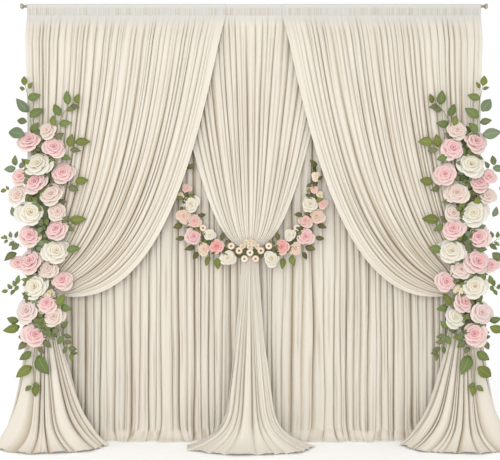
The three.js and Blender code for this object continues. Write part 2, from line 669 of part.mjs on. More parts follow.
function flipSprig(sprig) {
  return { ...sprig, root: flipX(sprig.root), tip: flipX(sprig.tip), bow: -sprig.bow };
}

// A side garland: a tall band beside the tie, thick with roses
function sideGarland(band, roses, sprigs, leaves) {
  const path = bandPath(band);
  const pieces = [bandGeometry(path, SIDE_BAND_WIDTH, 9)];
  for (const rose of roses) pieces.push(roseGeometry(rose, path));
  for (const sprig of sprigs) {
    pieces.push(...sprigGeometries(sprig, bandDepth(path, sprig.root.x, sprig.root.z)));
  }
  for (const leaf of leaves) pieces.push(looseLeaf(leaf, path, SIDE_BAND_WIDTH));
  return joined(pieces);
}

// A bead: a short round barrel
function beadGeometry(bead, path) {
  return seated(turned(BEAD_OUTLINE, BEAD_SIZE, BEAD_SIDES), bead, path, BEAD_SEAT * BEAD_SIZE);
}

// The centre garland: a crescent from one side panel to the other, under the knot
function centreGarland() {
  const path = bandPath(CENTRE_BAND);
  const pieces = [bandGeometry(path, CENTRE_BAND_WIDTH, 16)];
  for (const rose of CENTRE_ROSES) pieces.push(roseGeometry(rose, path));
  for (const bead of BEADS) pieces.push(beadGeometry(bead, path));
  for (const leaf of CENTRE_LEAVES) pieces.push(looseLeaf(leaf, path, CENTRE_BAND_WIDTH));
  return joined(pieces);
}

const knob = knobGeometry();
const otherKnob = knob.clone();
otherKnob.rotateZ(Math.PI);
otherKnob.translate(0, 2 * ROD_Y, 0);

const group = new THREE.Group();
group.add(makeMesh('rod', rodGeometry(), BRASS));
group.add(makeMesh('knob_right', knob, BRASS));
group.add(makeMesh('knob_left', otherKnob, BRASS));
group.add(makeMesh('back_curtain', backCurtain(), IVORY_BACK));
group.add(makeMesh('centre_panel', centrePanel(), IVORY));
group.add(makeMesh('side_panel_left', sidePanel(LEFT_FOLDS), IVORY));
group.add(makeMesh('side_panel_right', mirrored(sidePanel(RIGHT_FOLDS)), IVORY));
group.add(makeMesh('garland_left', sideGarland(SIDE_BAND, LEFT_ROSES, LEFT_SPRIGS, LEFT_LEAVES), BLOOM));
group.add(makeMesh(
  'garland_right',
  sideGarland(SIDE_BAND.map(flipX), RIGHT_ROSES, LEFT_SPRIGS.map(flipSprig), LEFT_LEAVES.map(flipX)),
  BLOOM,
));
group.add(makeMesh('garland_centre', centreGarland(), BLOOM));

export default group;
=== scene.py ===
"""Backdrop curtain on its rod, with rose garlands: the looks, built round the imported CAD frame.

Metres, Z up, the front faces -Y. A place is given as x, its depth in front of the rod, and z.
"""

import math

import bpy
import numpy as np
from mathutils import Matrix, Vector


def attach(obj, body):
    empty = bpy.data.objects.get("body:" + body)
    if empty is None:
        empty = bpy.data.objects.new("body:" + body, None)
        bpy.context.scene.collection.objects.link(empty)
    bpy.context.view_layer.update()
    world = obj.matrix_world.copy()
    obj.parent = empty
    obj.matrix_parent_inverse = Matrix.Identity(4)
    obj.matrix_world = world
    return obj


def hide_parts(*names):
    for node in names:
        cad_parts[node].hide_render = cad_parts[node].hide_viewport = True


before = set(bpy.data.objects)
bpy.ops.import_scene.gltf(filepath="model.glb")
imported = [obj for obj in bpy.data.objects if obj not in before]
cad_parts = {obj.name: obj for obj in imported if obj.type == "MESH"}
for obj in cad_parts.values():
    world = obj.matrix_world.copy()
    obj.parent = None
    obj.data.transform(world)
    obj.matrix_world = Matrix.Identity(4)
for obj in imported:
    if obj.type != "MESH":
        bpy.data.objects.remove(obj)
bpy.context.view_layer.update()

# Rod and end knobs
# A 19 mm tube of champagne bronze, 3.12 m long. A turned knob with a short neck slips over each
# end and stays there.

ROD_Y = 0.162
ROD_Z = 2.915
ROD_PROFILE = [(-1.560, 0.0090), (-1.5595, 0.0095), (1.5595, 0.0095), (1.560, 0.0090)]
KNOB_PROFILE = [
    (1.5485, 0.0122), (1.5490, 0.0126), (1.5518, 0.0126), (1.5526, 0.0118), (1.5534, 0.0128),
    (1.5546, 0.0152), (1.5565, 0.0174), (1.5590, 0.0187), (1.5615, 0.0190), (1.5640, 0.0186),
    (1.5665, 0.0174), (1.5690, 0.0150), (1.5710, 0.0117), (1.5722, 0.0078), (1.5728, 0.0040),
    (1.5730, 0.0006),
]
ROD_SIDES = 32
KNOB_SIDES = 28
BRONZE = (0.42, 0.37, 0.29, 1.0)
BRONZE_ROUGHNESS = 0.34


def turned(name, profile, sides, hand):
    """A lathed solid about the rod's line: each (x, radius) of the profile becomes a ring
    y = ROD_Y + radius cos(angle), z = ROD_Z + radius sin(angle), with x times hand."""
    x, radius = np.array(profile).T
    angle = 2 * np.pi * np.arange(sides) / sides
    rings = np.stack([
        np.repeat(hand * x[:, None], sides, axis=1),
        ROD_Y + radius[:, None] * np.cos(angle),
        ROD_Z + radius[:, None] * np.sin(angle),
    ], axis=2)
    ring, step = np.meshgrid(np.arange(len(x) - 1), np.arange(sides), indexing="ij")
    here = ring * sides + step
    beside = ring * sides + (step + 1) % sides
    quads = np.stack([here, beside, beside + sides, here + sides], axis=2).reshape(-1, 4)
    first = np.arange(sides)[::-1]
    last = (len(x) - 1) * sides + np.arange(sides)
    faces = [quads, first[None], last[None]]
    if hand < 0:
        faces = [part[:, ::-1] for part in faces]
    faces = [tuple(face) for part in faces for face in part.tolist()]
    mesh = bpy.data.meshes.new(name)
    mesh.from_pydata(rings.reshape(-1, 3).tolist(), [], faces)
    mesh.validate()
    mesh.shade_smooth()
    piece = bpy.data.objects.new(name, mesh)
    bpy.context.collection.objects.link(piece)
    return piece


bronze = bpy.data.materials.new("champagne bronze")
bronze.use_nodes = True
bronze_shader = bronze.node_tree.nodes["Principled BSDF"]
bronze_shader.inputs["Base Color"].default_value = BRONZE
bronze_shader.inputs["Metallic"].default_value = 1.0
bronze_shader.inputs["Roughness"].default_value = BRONZE_ROUGHNESS

rod = turned("curtain_rod", ROD_PROFILE, ROD_SIDES, 1)
left_knob = turned("left_end_knob", KNOB_PROFILE, KNOB_SIDES, -1)
right_knob = turned("right_end_knob", KNOB_PROFILE, KNOB_SIDES, 1)
for piece, node in ((rod, "rod"), (left_knob, "knob_left"), (right_knob, "knob_right")):
    piece.data.materials.append(bronze)
    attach(piece, "root")
    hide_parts(node)

# Back curtain
# One straight gathered sheet of ivory crepe, sewn into a pocket that goes over the rod, with a
# gathered heading down to a seam. Its hem breaks and lies forward on the floor.

SEAM_Z = 2.853
HALF_WIDTH = 1.522
CLOTH_THICKNESS = 0.0010
BACK_ROUND = 0.0118
BACK_SEAM_DEPTH = 0.0010
BACK_RIDGE = 0.044
BACK_GATHERS = 210
BACK_OVER = 188
BACK_SWELL = 0.0008
BACK_WANDER = 0.16
BACK_SHARPNESS = (2.4, 4.6)
BACK_REACH = 0.093
BEND_HEIGHT = 0.034
BREAK_Z = 0.078
BACK_FLOOR_GAP = 0.0022
COLUMNS_PER_FOLD = 12
SEAM_DROPS = np.array([0, 0.0015, 0.012, 0.026, 0.042, 0.06, 0.08, 0.105, 0.135, 0.17, 0.21])
HEM_ROWS = np.array([0.165, 0.135, 0.11, 0.09, 0.074, 0.062, 0.052, 0.044, 0.037, 0.031, 0.025,
                     0.019, 0.014, 0.009, 0.0055, 0.0030])
IVORY = (0.628, 0.582, 0.500)
# Painted shade: the next two tones are the warmer, darker ivory that the mark fold paints on the sides and
# in the valleys of the folds.
PAINTED_SIDE_SHADE = (0.480, 0.415, 0.315)
PAINTED_VALLEY_SHADE = (0.290, 0.225, 0.140)
# Painted grey, mixed in by the mark sheer: a cool grey standing in for light through the thin heading.
PAINTED_SHEER_GREY = (0.460, 0.468, 0.470)
# Painted shade: the tone painted in the back's valleys, seen from behind.
PAINTED_BEHIND_SHADE = (0.570, 0.518, 0.428)
CREPE_ROUGHNESS = 0.68
CREPE_SHEEN = (0.12, 0.5)
CREPE_SPECULAR = 0.25
CRINKLE = {"stretch": (900, 260, 1), "detail": 3.0, "strength": 0.25, "distance": 0.0004}
CREASES = {"stretch": (70, 1.6, 1), "detail": 2.0, "strength": 0.8, "distance": 0.004}
BACK_FOLDS = [
    (0.8, (55, 50)), (0.9, (45, 45)), (0.9, (45, 55)), (0.8, (40, 45)), (1.0, (55, 50)),
    (0.8, (45, 55)), (1.0, (65, 45)), (0.9, (57, 57)), (0.8, (50, 37)), (1.0, (80, 40)),
    (0.9, (50, 47)), (1.0, (47, 54)), (0.7, (40,)), (1.0, (54, 54)), (0.9, (47, 47, 54)),
    (0.9, (47, 44, 44)), (0.8, (67, 60)), (1.0, (67, 67)), (0.9, (74, 74)), (0.8, (47, 44)),
    (1.0, (44, 40, 54)), (0.8, (47, 40)), (0.8, (47, 40)), (1.0, (67, 54)), (0.9, (47, 47, 47)),
    (0.9, (47, 47)), (0.9, (54, 60)), (0.8, (54, 55)),
]


def clamp(value):
    """The value, held between 0 and 1."""
    return np.clip(value, 0.0, 1.0)


def smoothstep(value, low, high):
    """0 below low and 1 above high, and t t (3 - 2 t) between them."""
    t = clamp((value - low) / (high - low))
    return t * t * (3 - 2 * t)


def lerp(start, end, t):
    """The value a share t of the way from start to end."""
    return start + (end - start) * t


def drift(heights, count, seed, slow):
    """Smooth chance values from -1 to 1, a column for each of count folds and a row for each
    height: the weighted mean of three sines, about slow, 0.45 slow and 0.2 slow long."""
    rng = np.random.default_rng(seed)
    total = np.zeros((len(heights), count))
    for wavelength, weight in ((slow, 0.66), (0.45 * slow, 0.26), (0.2 * slow, 0.08)):
        length = wavelength * rng.uniform(0.75, 1.3, count)
        phase = rng.uniform(0, 2 * np.pi, count)
        total += weight * np.sin(2 * np.pi * heights[:, None] / length + phase)
    return total


def gathered(folds, heights, seed, wander, sharpness=(2.4, 3.8), per_fold=COLUMNS_PER_FOLD):
    """The folds of a gathered sheet. Each main fold is (depth, widths of its finer folds, and how
    much of the depth is in the finer ones, 0.66 if it isn't said). An arch is 1 - |2 t - 1|^p
    across a fold, with p between the two values of sharpness, or 2.6 for a main fold, so that
    crowns are broad and valleys narrow. Its crown leans sideways, and along the crown of the
    broader ones a crease exp(-((t - middle) / 0.075)^2) comes and goes. Edges of folds wander,
    depths grow and shrink, and the sheet's own two edges end on a crown. Returns share across,
    rows by columns, and four such arrays as one: the height of the main and of the finer arches,
    which together go from 0 to about 1, and how far each lies below its own crowns."""
    rng = np.random.default_rng(seed)
    counts = [len(fold[1]) for fold in folds]
    depth = np.repeat([fold[0] for fold in folds], counts)
    creased = np.repeat([fold[2] if len(fold) == 3 else 0.66 for fold in folds], counts)
    widths = np.concatenate([np.array(fold[1], float) for fold in folds])
    ends = np.cumsum(widths)
    edges = np.concatenate([[0.0], ends]) / ends[-1]
    main = np.repeat(np.arange(len(folds)), counts)
    first = np.concatenate([[0], np.cumsum(counts)[:-1]])
    past = np.cumsum(counts)
    power = rng.uniform(sharpness[0], sharpness[1], len(widths))[:, None]
    lean = 0.24 * np.sin(np.arange(len(widths)) * 0.86 + rng.uniform(0, 6.3))[:, None]

    shift = drift(heights, len(edges), seed, 2.2)
    room = np.minimum(np.append(widths, widths[-1]), np.insert(widths, 0, widths[0])) / ends[-1]
    shift[:, 0] = 0
    shift[:, -1] = 0
    place = edges + wander * shift * room
    t = ((1 - np.cos(np.pi * np.arange(per_fold) / per_fold)) / 2)[None, :]
    fine_arch = 1 - np.abs(2 * t - 1) ** power
    along = t + lean * fine_arch
    fine_arch[0, :per_fold // 2] = 1
    fine_arch[-1, per_fold // 2:] = 1
    middle = per_fold // 2 + rng.integers(-1, 2, len(widths))
    pinch_at = t[0, middle][:, None]
    pinched = smoothstep(widths, 20, 40) * clamp(
        0.42 + 0.38 * drift(heights, len(widths), seed + 3, 1.0))
    pinch = pinched[:, :, None] * np.exp(-((t - pinch_at) / 0.075) ** 2)
    share = place[:, :-1, None] * (1 - along) + place[:, 1:, None] * along
    main_start = place[:, first][:, main, None]
    main_end = place[:, past][:, main, None]
    main_t = (place[:, :-1, None] * (1 - t) + place[:, 1:, None] * t - main_start)
    main_t = main_t / (main_end - main_start)
    main_arch = 1 - np.abs(2 * main_t - 1) ** 2.6
    main_arch[:, main == 0] = np.maximum(main_arch, main_t < 0.5)[:, main == 0]
    main_arch[:, main == main[-1]] = np.maximum(main_arch, main_t > 0.5)[:, main == main[-1]]

    fullness = 1 + 0.14 * drift(heights, len(folds), seed + 1, 1.4)[:, main]
    fineness = 0.88 + 0.24 * drift(heights, len(widths), seed + 2, 0.9)
    alone = np.array(counts)[main] == 1
    fineness = np.where(alone, 1.0, fineness)[:, :, None]
    main_arch = np.where(alone[None, :, None], fine_arch, main_arch)
    size = (depth * fullness)[:, :, None]

    rows = len(heights)
    wide = size * (1 - creased)[:, None]
    fine = size * creased[:, None]
    finer = fineness * fine_arch - 0.95 * pinch
    waves = np.stack([wide * main_arch, fine * finer, wide * (1 - main_arch), fine * (1 - finer)])
    waves = np.pad(waves.reshape(4, rows, -1), ((0, 0), (0, 0), (0, 1)), mode="edge")
    return np.concatenate([share.reshape(rows, -1), place[:, -1:]], axis=1), waves


def settled(waves, high):
    """The folds' height and shade at each height. Below the seam the finer folds open within
    0.09, the main ones between 0.04 and 0.60. Shade is 1 on crowns and 0 in deep valleys."""
    drop = SEAM_Z - high[:, None]
    wide = smoothstep(drop, 0.04, 0.60)
    fine = 0.06 + 0.94 * smoothstep(drop, 0.0, 0.09)
    return waves[0] * wide + waves[1] * fine, 1 - waves[2] * wide - waves[3] * fine


def raised(base, height):
    """The surface moved outwards from a smooth base of rows by columns of points: each point
    goes height along the base's normal, which is across its neighbours down and eight columns
    to each side, because a fold's own columns may lean over each other."""
    column = np.arange(base.shape[1])
    ahead = base[:, np.minimum(column + 8, column[-1])]
    sideways = ahead - base[:, np.maximum(column - 8, 0)]
    normal = np.cross(np.gradient(base, axis=0), sideways)
    normal /= np.maximum(np.linalg.norm(normal, axis=2, keepdims=True), 1e-9)
    return base + height[:, :, None] * normal


def grid_quads(rows, columns):
    """The quads of a grid of points that runs down and to the right, facing the front."""
    corner = np.arange(rows - 1)[:, None] * columns + np.arange(columns - 1)
    return np.stack([corner, corner + columns, corner + columns + 1, corner + 1], 2).reshape(-1, 4)


def flat_places(grid):
    """Where each point lies on the flat cloth: the length along its row and down its column."""
    across = np.linalg.norm(np.diff(grid, axis=1), axis=2)
    down = np.linalg.norm(np.diff(grid, axis=0), axis=2)
    u = np.concatenate([np.zeros((len(grid), 1)), np.cumsum(across, axis=1)], axis=1)
    v = np.concatenate([np.zeros((1, grid.shape[1])), np.cumsum(down, axis=0)], axis=0)
    u = np.broadcast_to(u.max(axis=0), u.shape)
    return np.stack([u, v], axis=2)


def new_piece(name, points, quads, material, uv=None, marks=None, tints=None):
    """A smooth mesh object from whole arrays. Marks are a value and tints a colour a point."""
    mesh = bpy.data.meshes.new(name)
    mesh.vertices.add(len(points))
    mesh.vertices.foreach_set("co", np.asarray(points, np.float32).ravel())
    mesh.loops.add(quads.size)
    mesh.loops.foreach_set("vertex_index", np.asarray(quads, np.int32).ravel())
    mesh.polygons.add(len(quads))
    mesh.polygons.foreach_set("loop_start", np.arange(0, quads.size, 4, dtype=np.int32))
    mesh.update(calc_edges=True)
    if uv is not None:
        layer = mesh.uv_layers.new(name="flat_cloth")
        layer.data.foreach_set("uv", np.asarray(uv, np.float32)[quads.ravel()].ravel())
    if marks is not None:
        for title, values in marks.items():
            mark = mesh.attributes.new(title, "FLOAT", "POINT")
            mark.data.foreach_set("value", np.asarray(values, np.float32).ravel())
    if tints is not None:
        tint = mesh.attributes.new("tint", "FLOAT_COLOR", "POINT")
        tint.data.foreach_set("color", np.asarray(tints, np.float32).ravel())
    mesh.validate()
    mesh.shade_smooth()
    mesh.materials.append(material)
    piece = bpy.data.objects.new(name, mesh)
    bpy.context.collection.objects.link(piece)
    return piece


def cloth_piece(name, parts, materials):
    """One sheet from parts that meet edge to edge, each its grid of points and its marks fold and
    sheer, closed to its thickness by Solidify, with the second material on its back."""
    points, quads, places, start = [], [], [], 0
    for grid, _, _ in parts:
        points.append(grid.reshape(-1, 3))
        quads.append(grid_quads(grid.shape[0], grid.shape[1]) + start)
        places.append(flat_places(grid).reshape(-1, 2))
        start += points[-1].shape[0]
    marks = {
        "fold": np.concatenate([np.ravel(fold) for _, fold, _ in parts]),
        "sheer": np.concatenate([np.ravel(sheer) for _, _, sheer in parts]),
    }
    piece = new_piece(name, np.concatenate(points), np.concatenate(quads), materials[0],
                      uv=np.concatenate(places), marks=marks)
    piece.data.materials.append(materials[1])
    thickness = piece.modifiers.new("cloth thickness", "SOLIDIFY")
    thickness.thickness = CLOTH_THICKNESS
    thickness.offset = 0.0
    thickness.material_offset = 1
    return piece


def relief(nodes, links, flat, shape):
    """Bump from noise over the flat cloth, of the shape's stretch, detail, strength, distance."""
    mapping = nodes.new("ShaderNodeMapping")
    mapping.inputs["Scale"].default_value = shape["stretch"]
    links.new(flat, mapping.inputs["Vector"])
    noise = nodes.new("ShaderNodeTexNoise")
    noise.inputs["Scale"].default_value = 1.0
    noise.inputs["Detail"].default_value = shape["detail"]
    links.new(mapping.outputs["Vector"], noise.inputs["Vector"])
    bump = nodes.new("ShaderNodeBump")
    bump.inputs["Strength"].default_value = shape["strength"]
    bump.inputs["Distance"].default_value = shape["distance"]
    links.new(noise.outputs["Fac"], bump.inputs["Height"])
    return bump


def crepe(name, crown_last):
    """Ivory crepe with painted shade: the mark fold, 0 in a valley and 1 on a crown seen from the
    front, paints it warmer and darker deep in the folds; the mark sheer paints it greyer where it is
    high; the small crinkle of the yarn is bump. From behind crown_last is False and a front crown is
    the valley."""
    material = bpy.data.materials.new(name)
    material.use_nodes = True
    nodes = material.node_tree.nodes
    links = material.node_tree.links
    shader = nodes["Principled BSDF"]
    fold = nodes.new("ShaderNodeAttribute")
    fold.attribute_name = "fold"
    tone = nodes.new("ShaderNodeValToRGB")
    # Painted shade: from the front the tones run from dark valley through shaded side to ivory on the
    # crown; from behind a front crown is a back valley and is painted a little darker.
    if crown_last:
        steps = [(0.0, PAINTED_VALLEY_SHADE), (0.22, PAINTED_SIDE_SHADE), (0.68, IVORY)]
    else:
        steps = [(0.0, IVORY), (0.60, IVORY), (1.0, PAINTED_BEHIND_SHADE)]
    tone.color_ramp.elements.new(0.5)
    for element, (place, colour) in zip(tone.color_ramp.elements, steps):
        element.position = place
        element.color = (*colour, 1)
    links.new(fold.outputs["Fac"], tone.inputs["Fac"])
    sheer = nodes.new("ShaderNodeAttribute")
    sheer.attribute_name = "sheer"
    mixed = nodes.new("ShaderNodeMix")
    mixed.data_type = "RGBA"
    mixed.blend_type = "MIX"
    mixed.inputs[7].default_value = (*PAINTED_SHEER_GREY, 1)
    links.new(sheer.outputs["Fac"], mixed.inputs[0])
    links.new(tone.outputs["Color"], mixed.inputs[6])
    links.new(mixed.outputs[2], shader.inputs["Base Color"])
    flat = nodes.new("ShaderNodeTexCoord")
    crinkle = relief(nodes, links, flat.outputs["UV"], CRINKLE)
    creases = relief(nodes, links, flat.outputs["UV"], CREASES)
    links.new(crinkle.outputs["Normal"], creases.inputs["Normal"])
    links.new(creases.outputs["Normal"], shader.inputs["Normal"])
    shader.inputs["Roughness"].default_value = CREPE_ROUGHNESS
    shader.inputs["Sheen Weight"].default_value = CREPE_SHEEN[0]
    shader.inputs["Sheen Roughness"].default_value = CREPE_SHEEN[1]
    shader.inputs["Specular IOR Level"].default_value = CREPE_SPECULAR
    return material


def heading_strip(left, right, radius, seam_depth, over, gathers, swell, seed):
    """The cloth over the rod and its gathered heading, down to the seam: a path that follows a
    circle of that radius from the angle over down to the front, then runs straight to the seam.
    Below the rod it stands out in narrow pleats, swell deep, each 1 - |2 t - 1|^1.5 across,
    which shrink to 0.15 of that at the seam. Returns its points and its marks fold, painted shade
    between the pleats, and sheer, a painted grey."""
    rng = np.random.default_rng(seed)
    turn = np.radians(np.linspace(over, -8, max(4, int((over + 8) / 22))))
    depth = radius * np.cos(turn)
    z = ROD_Z + radius * np.sin(turn)
    fall = np.append(np.linspace(0, 1, 7)[1:-1], [0.975, 1.0])
    depth = np.concatenate([depth, lerp(depth[-1], seam_depth, fall)])
    z = np.concatenate([z, lerp(z[-1], SEAM_Z, fall)])
    widths = rng.uniform(0.55, 1.45, gathers)
    ends = np.concatenate([[0], np.cumsum(widths)]) / widths.sum()
    t = np.tile([0.0, 0.25, 0.5, 0.75], gathers)
    start = np.repeat(ends[:-1], 4)
    across = np.append(start + t * np.repeat(np.diff(ends), 4), 1.0)
    pleat = np.append((1 - np.abs(2 * t - 1) ** 1.5) * np.repeat(rng.uniform(0.35, 1, gathers), 4), 0)
    x = lerp(left, right, across)
    base = np.stack(np.broadcast_arrays(x[None, :], (ROD_Y - depth)[:, None], z[:, None]), axis=2)
    below = np.where(depth > 0, 1.0, 0.0) * smoothstep(ROD_Z - z, 0.004, 0.016)
    stands = swell * below * lerp(0.15, 1, smoothstep(z, SEAM_Z, SEAM_Z + 0.016))
    grid = raised(base, stands[:, None] * pleat[None, :])
    patch = np.append(np.repeat(rng.uniform(0, 1, gathers), 4), 0.5)
    # Painted shade: the mark fold darkens the cloth between the pleats below the rod, deeper or lighter by
    # patch at random.
    fold = 1 - below[:, None] * (1.02 - 0.46 * clamp(1.4 * pleat) - 0.36 * patch)[None, :]
    # Painted grey: the mark sheer greys the whole heading, unevenly by patch below the rod, in place of
    # light through the thin cloth.
    sheer = lerp(0.56, 0.40 + 0.34 * patch[None, :], below[:, None])
    return grid, fold, sheer


def back_sheet():
    """The part below the seam. Its folds open backwards first, within 0.09, to stay clear of the
    panels in front, and then stand half forward, half back. Forward is reach exp(-z / 0.034),
    reach being about 0.093 and uneven: it bends forward close to the floor. There, from about
    0.078 down, the valleys fill and the cloth breaks into one ruffled lip."""
    high = np.concatenate([SEAM_Z - SEAM_DROPS, np.linspace(2.59, 0.20, 22), HEM_ROWS])
    share, waves = gathered(BACK_FOLDS, high, 11, BACK_WANDER, BACK_SHARPNESS)
    height, shade = settled(waves, high)
    column = np.linspace(0, 1, share.shape[1])
    reach = BACK_REACH + 0.010 * np.sin(column * 61) + 0.008 * np.sin(column * 143 + 1)
    forward = reach[None, :] * np.exp(-high / BEND_HEIGHT)[:, None]
    break_z = BREAK_Z + 0.012 * np.sin(column * 83) + 0.010 * np.sin(column * 211)
    broken = smoothstep(break_z[None, :] - high[:, None], 0, 0.034)
    ruffle = np.sin(column * 190 + 4 * np.sin(column * 47)) * np.sin(np.pi * clamp(high / 0.07))[:, None]
    height = lerp(height, 0.32 + 0.52 * height + 0.18 * ruffle, broken)
    drop = SEAM_Z - high
    opened = 0.66 * smoothstep(drop, 0.0, 0.09) - 0.16 * smoothstep(drop, 0.09, 0.45)
    depth = (BACK_SEAM_DEPTH - BACK_RIDGE * opened)[:, None] + forward
    sweep = np.sin(column * 37 + 1) + 0.6 * np.sin(column * 97)
    x = lerp(-HALF_WIDTH, HALF_WIDTH, share) + 0.32 * forward * sweep * np.sin(np.pi * column) ** 0.5
    z = np.broadcast_to(high[:, None], x.shape)
    ridge = BACK_RIDGE * lerp(1, 0.30, smoothstep(0.052 - high, 0, 0.050))[:, None]
    grid = raised(np.stack([x, ROD_Y - depth, z], axis=2), ridge * height)
    grid[:, :, 2] = np.maximum(grid[:, :, 2], BACK_FLOOR_GAP)
    # Painted shade: on the broken lip the mark fold is pulled lower and ruffled, darkening the lip where
    # it turns up to the sky.
    fold = lerp(shade, 0.12 + 0.64 * shade + 0.32 * ruffle, broken)
    return grid, fold, seam_sheer(high, share.shape[1])


def seam_sheer(high, columns):
    """The mark sheer, a painted grey, just below the seam: 0.36 at the seam and gone 0.07 below it."""
    return np.repeat(0.36 * (1 - smoothstep(SEAM_Z - high, 0.02, 0.07))[:, None], columns, axis=1)


crepes = (crepe("ivory crepe", True), crepe("ivory crepe, from behind", False))
back_heading = heading_strip(
    -HALF_WIDTH, HALF_WIDTH, BACK_ROUND, BACK_SEAM_DEPTH,
    BACK_OVER, BACK_GATHERS, BACK_SWELL, seed=21)
back_curtain = cloth_piece("back_curtain_cloth", [back_heading, back_sheet()], crepes)
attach(back_curtain, "root")
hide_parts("back_curtain")

# Centre panel
# A narrower sheet over the shoulder of the pocket, sewn in at the heading seam. It is drawn in
# like a fan to a knot and falls from there as a flared tail on the floor.

CENTRE_X = -0.027
CENTRE_ROUND = 0.01425
FRONT_OVER = 50
FRONT_WANDER = 0.13
FRONT_SHARPNESS = (2.0, 3.4)
CENTRE_LEFT = -0.593
CENTRE_RIGHT = 0.539
CENTRE_GATHERS = 84
CENTRE_SWELL = 0.0013
CENTRE_SEAM_DEPTH = 0.0034
CENTRE_KNOT_Z = 1.313
CENTRE_TIE_Z = 1.240
FRONT_FLOOR_GAP = 0.0026
TAIL_ROWS_DRAWN_DOWN = 1.5
TAIL_TURN = np.radians(105)
TAIL_RIDGE = 0.038
RIM_RIDGE = 0.015
CENTRE_TAIL = {"x": -0.027, "reach": 0.403, "back": 0.200, "front": 0.165, "slack": 0.0,
               "slope": 0.27, "front_slope": 1.0, "turn": 18, "front_turn": 18, "top": 0.010}
CENTRE_FOLDS = [
    (0.4, (69,)), (0.9, (54, 44)), (1.0, (44, 44)), (0.9, (79, 39)), (1.0, (49, 39)),
    (0.8, (39, 39)), (1.0, (64, 44)), (0.9, (39, 49)), (1.0, (69, 49)), (0.8, (49, 49)),
    (1.0, (44, 64)), (0.4, (44, 25)),
]
CENTRE_TAIL_FOLDS = [
    (0.7, (45, 45), 0.3), (0.8, (45, 45), 0.3), (0.9, (48, 48), 0.3), (1.0, (50, 49), 0.25),
    (1.0, (29, 29), 0.4), (1.1, (45, 44), 0.2), (0.9, (49,)), (0.6, (35,)), (1.0, (41, 42), 0.35),
    (1.0, (45, 46), 0.3), (0.9, (48, 48), 0.3), (0.7, (40, 42, 42), 0.3),
]


def tail(top, share, fall, shape):
    """A tail that opens from the row top to a rim on the floor. Across it turns 105 sin(90 u)
    degrees, u from -1 to 1, so that most folds sweep to the sides; the rim is at
    x + reach sin(turn) and depth back + front cos(turn). A point
    a share fall of the way down has gone slope fall^1.15 + (1 - slope) fall^power of the way
    out, the first part starting after its slack. The folds in front hang straighter: they have
    a smaller slope and sweep out late. The folds are top deep at first, 0.038 near the floor
    and 0.015 at the rim. Returns its places and the folds' depth."""
    turn = TAIL_TURN * np.sin(np.pi / 2 * (2 * share - 1))
    ripple = 1 + 0.035 * np.sin(share * 31) + 0.025 * np.sin(share * 67 + 2)
    rim_x = shape["x"] + shape["reach"] * ripple * np.sin(turn)
    rim_depth = shape["back"] + shape["front"] * ripple * np.cos(turn)
    eased = clamp((fall - shape["slack"]) / (1 - shape["slack"])) ** 1.15
    sideways = np.sin(turn) ** 2
    slope = shape["slope"] * lerp(shape["front_slope"], 1, sideways)
    power = lerp(shape["front_turn"], shape["turn"], sideways)
    spread = slope * eased[:, None] + (1 - slope) * fall[:, None] ** power
    x = lerp(top[:, :, 0], rim_x, spread)
    depth = lerp(ROD_Y - top[:, :, 1], rim_depth, spread)
    z = np.maximum(FRONT_FLOOR_GAP, top[:, :, 2] * (1 - fall)[:, None])
    ridge = lerp(shape["top"], TAIL_RIDGE, smoothstep(fall, 0.08, 0.78))
    ridge = lerp(ridge, RIM_RIDGE, smoothstep(fall, 0.86, 0.99))
    return np.stack([x, ROD_Y - depth, z], axis=2), ridge


def two_sets(folds, tail_folds, levels, seeds, start, length):
    """Share, height and shade of a sheet whose folds go over from one list to the tail's, from
    the height start down over length. Returns them and how far they have gone over."""
    share, waves = gathered(folds, levels, seeds[0], FRONT_WANDER, FRONT_SHARPNESS)
    tail_share, tail_waves = gathered(tail_folds, levels, seeds[1], FRONT_WANDER)
    opened = smoothstep(start - levels, 0, length)[:, None]
    height, shade = settled(lerp(waves, tail_waves, opened), levels)
    return lerp(share, tail_share, opened), height, shade, opened


def fall_and_tail(upper, upper_ridge, under, under_ridge, height):
    """The rows above the tie and the tail's rows as one surface, kept clear of the floor."""
    ridge = np.concatenate([upper_ridge, under_ridge])[:, None]
    grid = raised(np.concatenate([upper, under]), ridge * height)
    grid[:, :, 2] = np.maximum(grid[:, :, 2], FRONT_FLOOR_GAP)
    return grid


def centre_place(share, z):
    """Half the fan's width is 0.062 + 0.504 ((z - knot) / 1.54)^0.52, and 0.050 at the tie; it
    comes forward as it nears the knot, most in its middle."""
    half = 0.062 + 0.504 * clamp((z - CENTRE_KNOT_Z) / 1.54) ** 0.52
    half = half - 0.012 * smoothstep(CENTRE_KNOT_Z - z, 0, CENTRE_KNOT_Z - CENTRE_TIE_Z)
    near = smoothstep(1.890 - z, 0, 0.577)
    side = 2 * share - 1
    depth = lerp(CENTRE_SEAM_DEPTH, 0.030, clamp((SEAM_Z - z) / 0.300)) + 0.062 * near
    depth = depth + 0.022 * (1 - side ** 2) * near
    x = CENTRE_X + side * half
    return np.stack([x, ROD_Y - depth, np.broadcast_to(z, x.shape)], axis=2)


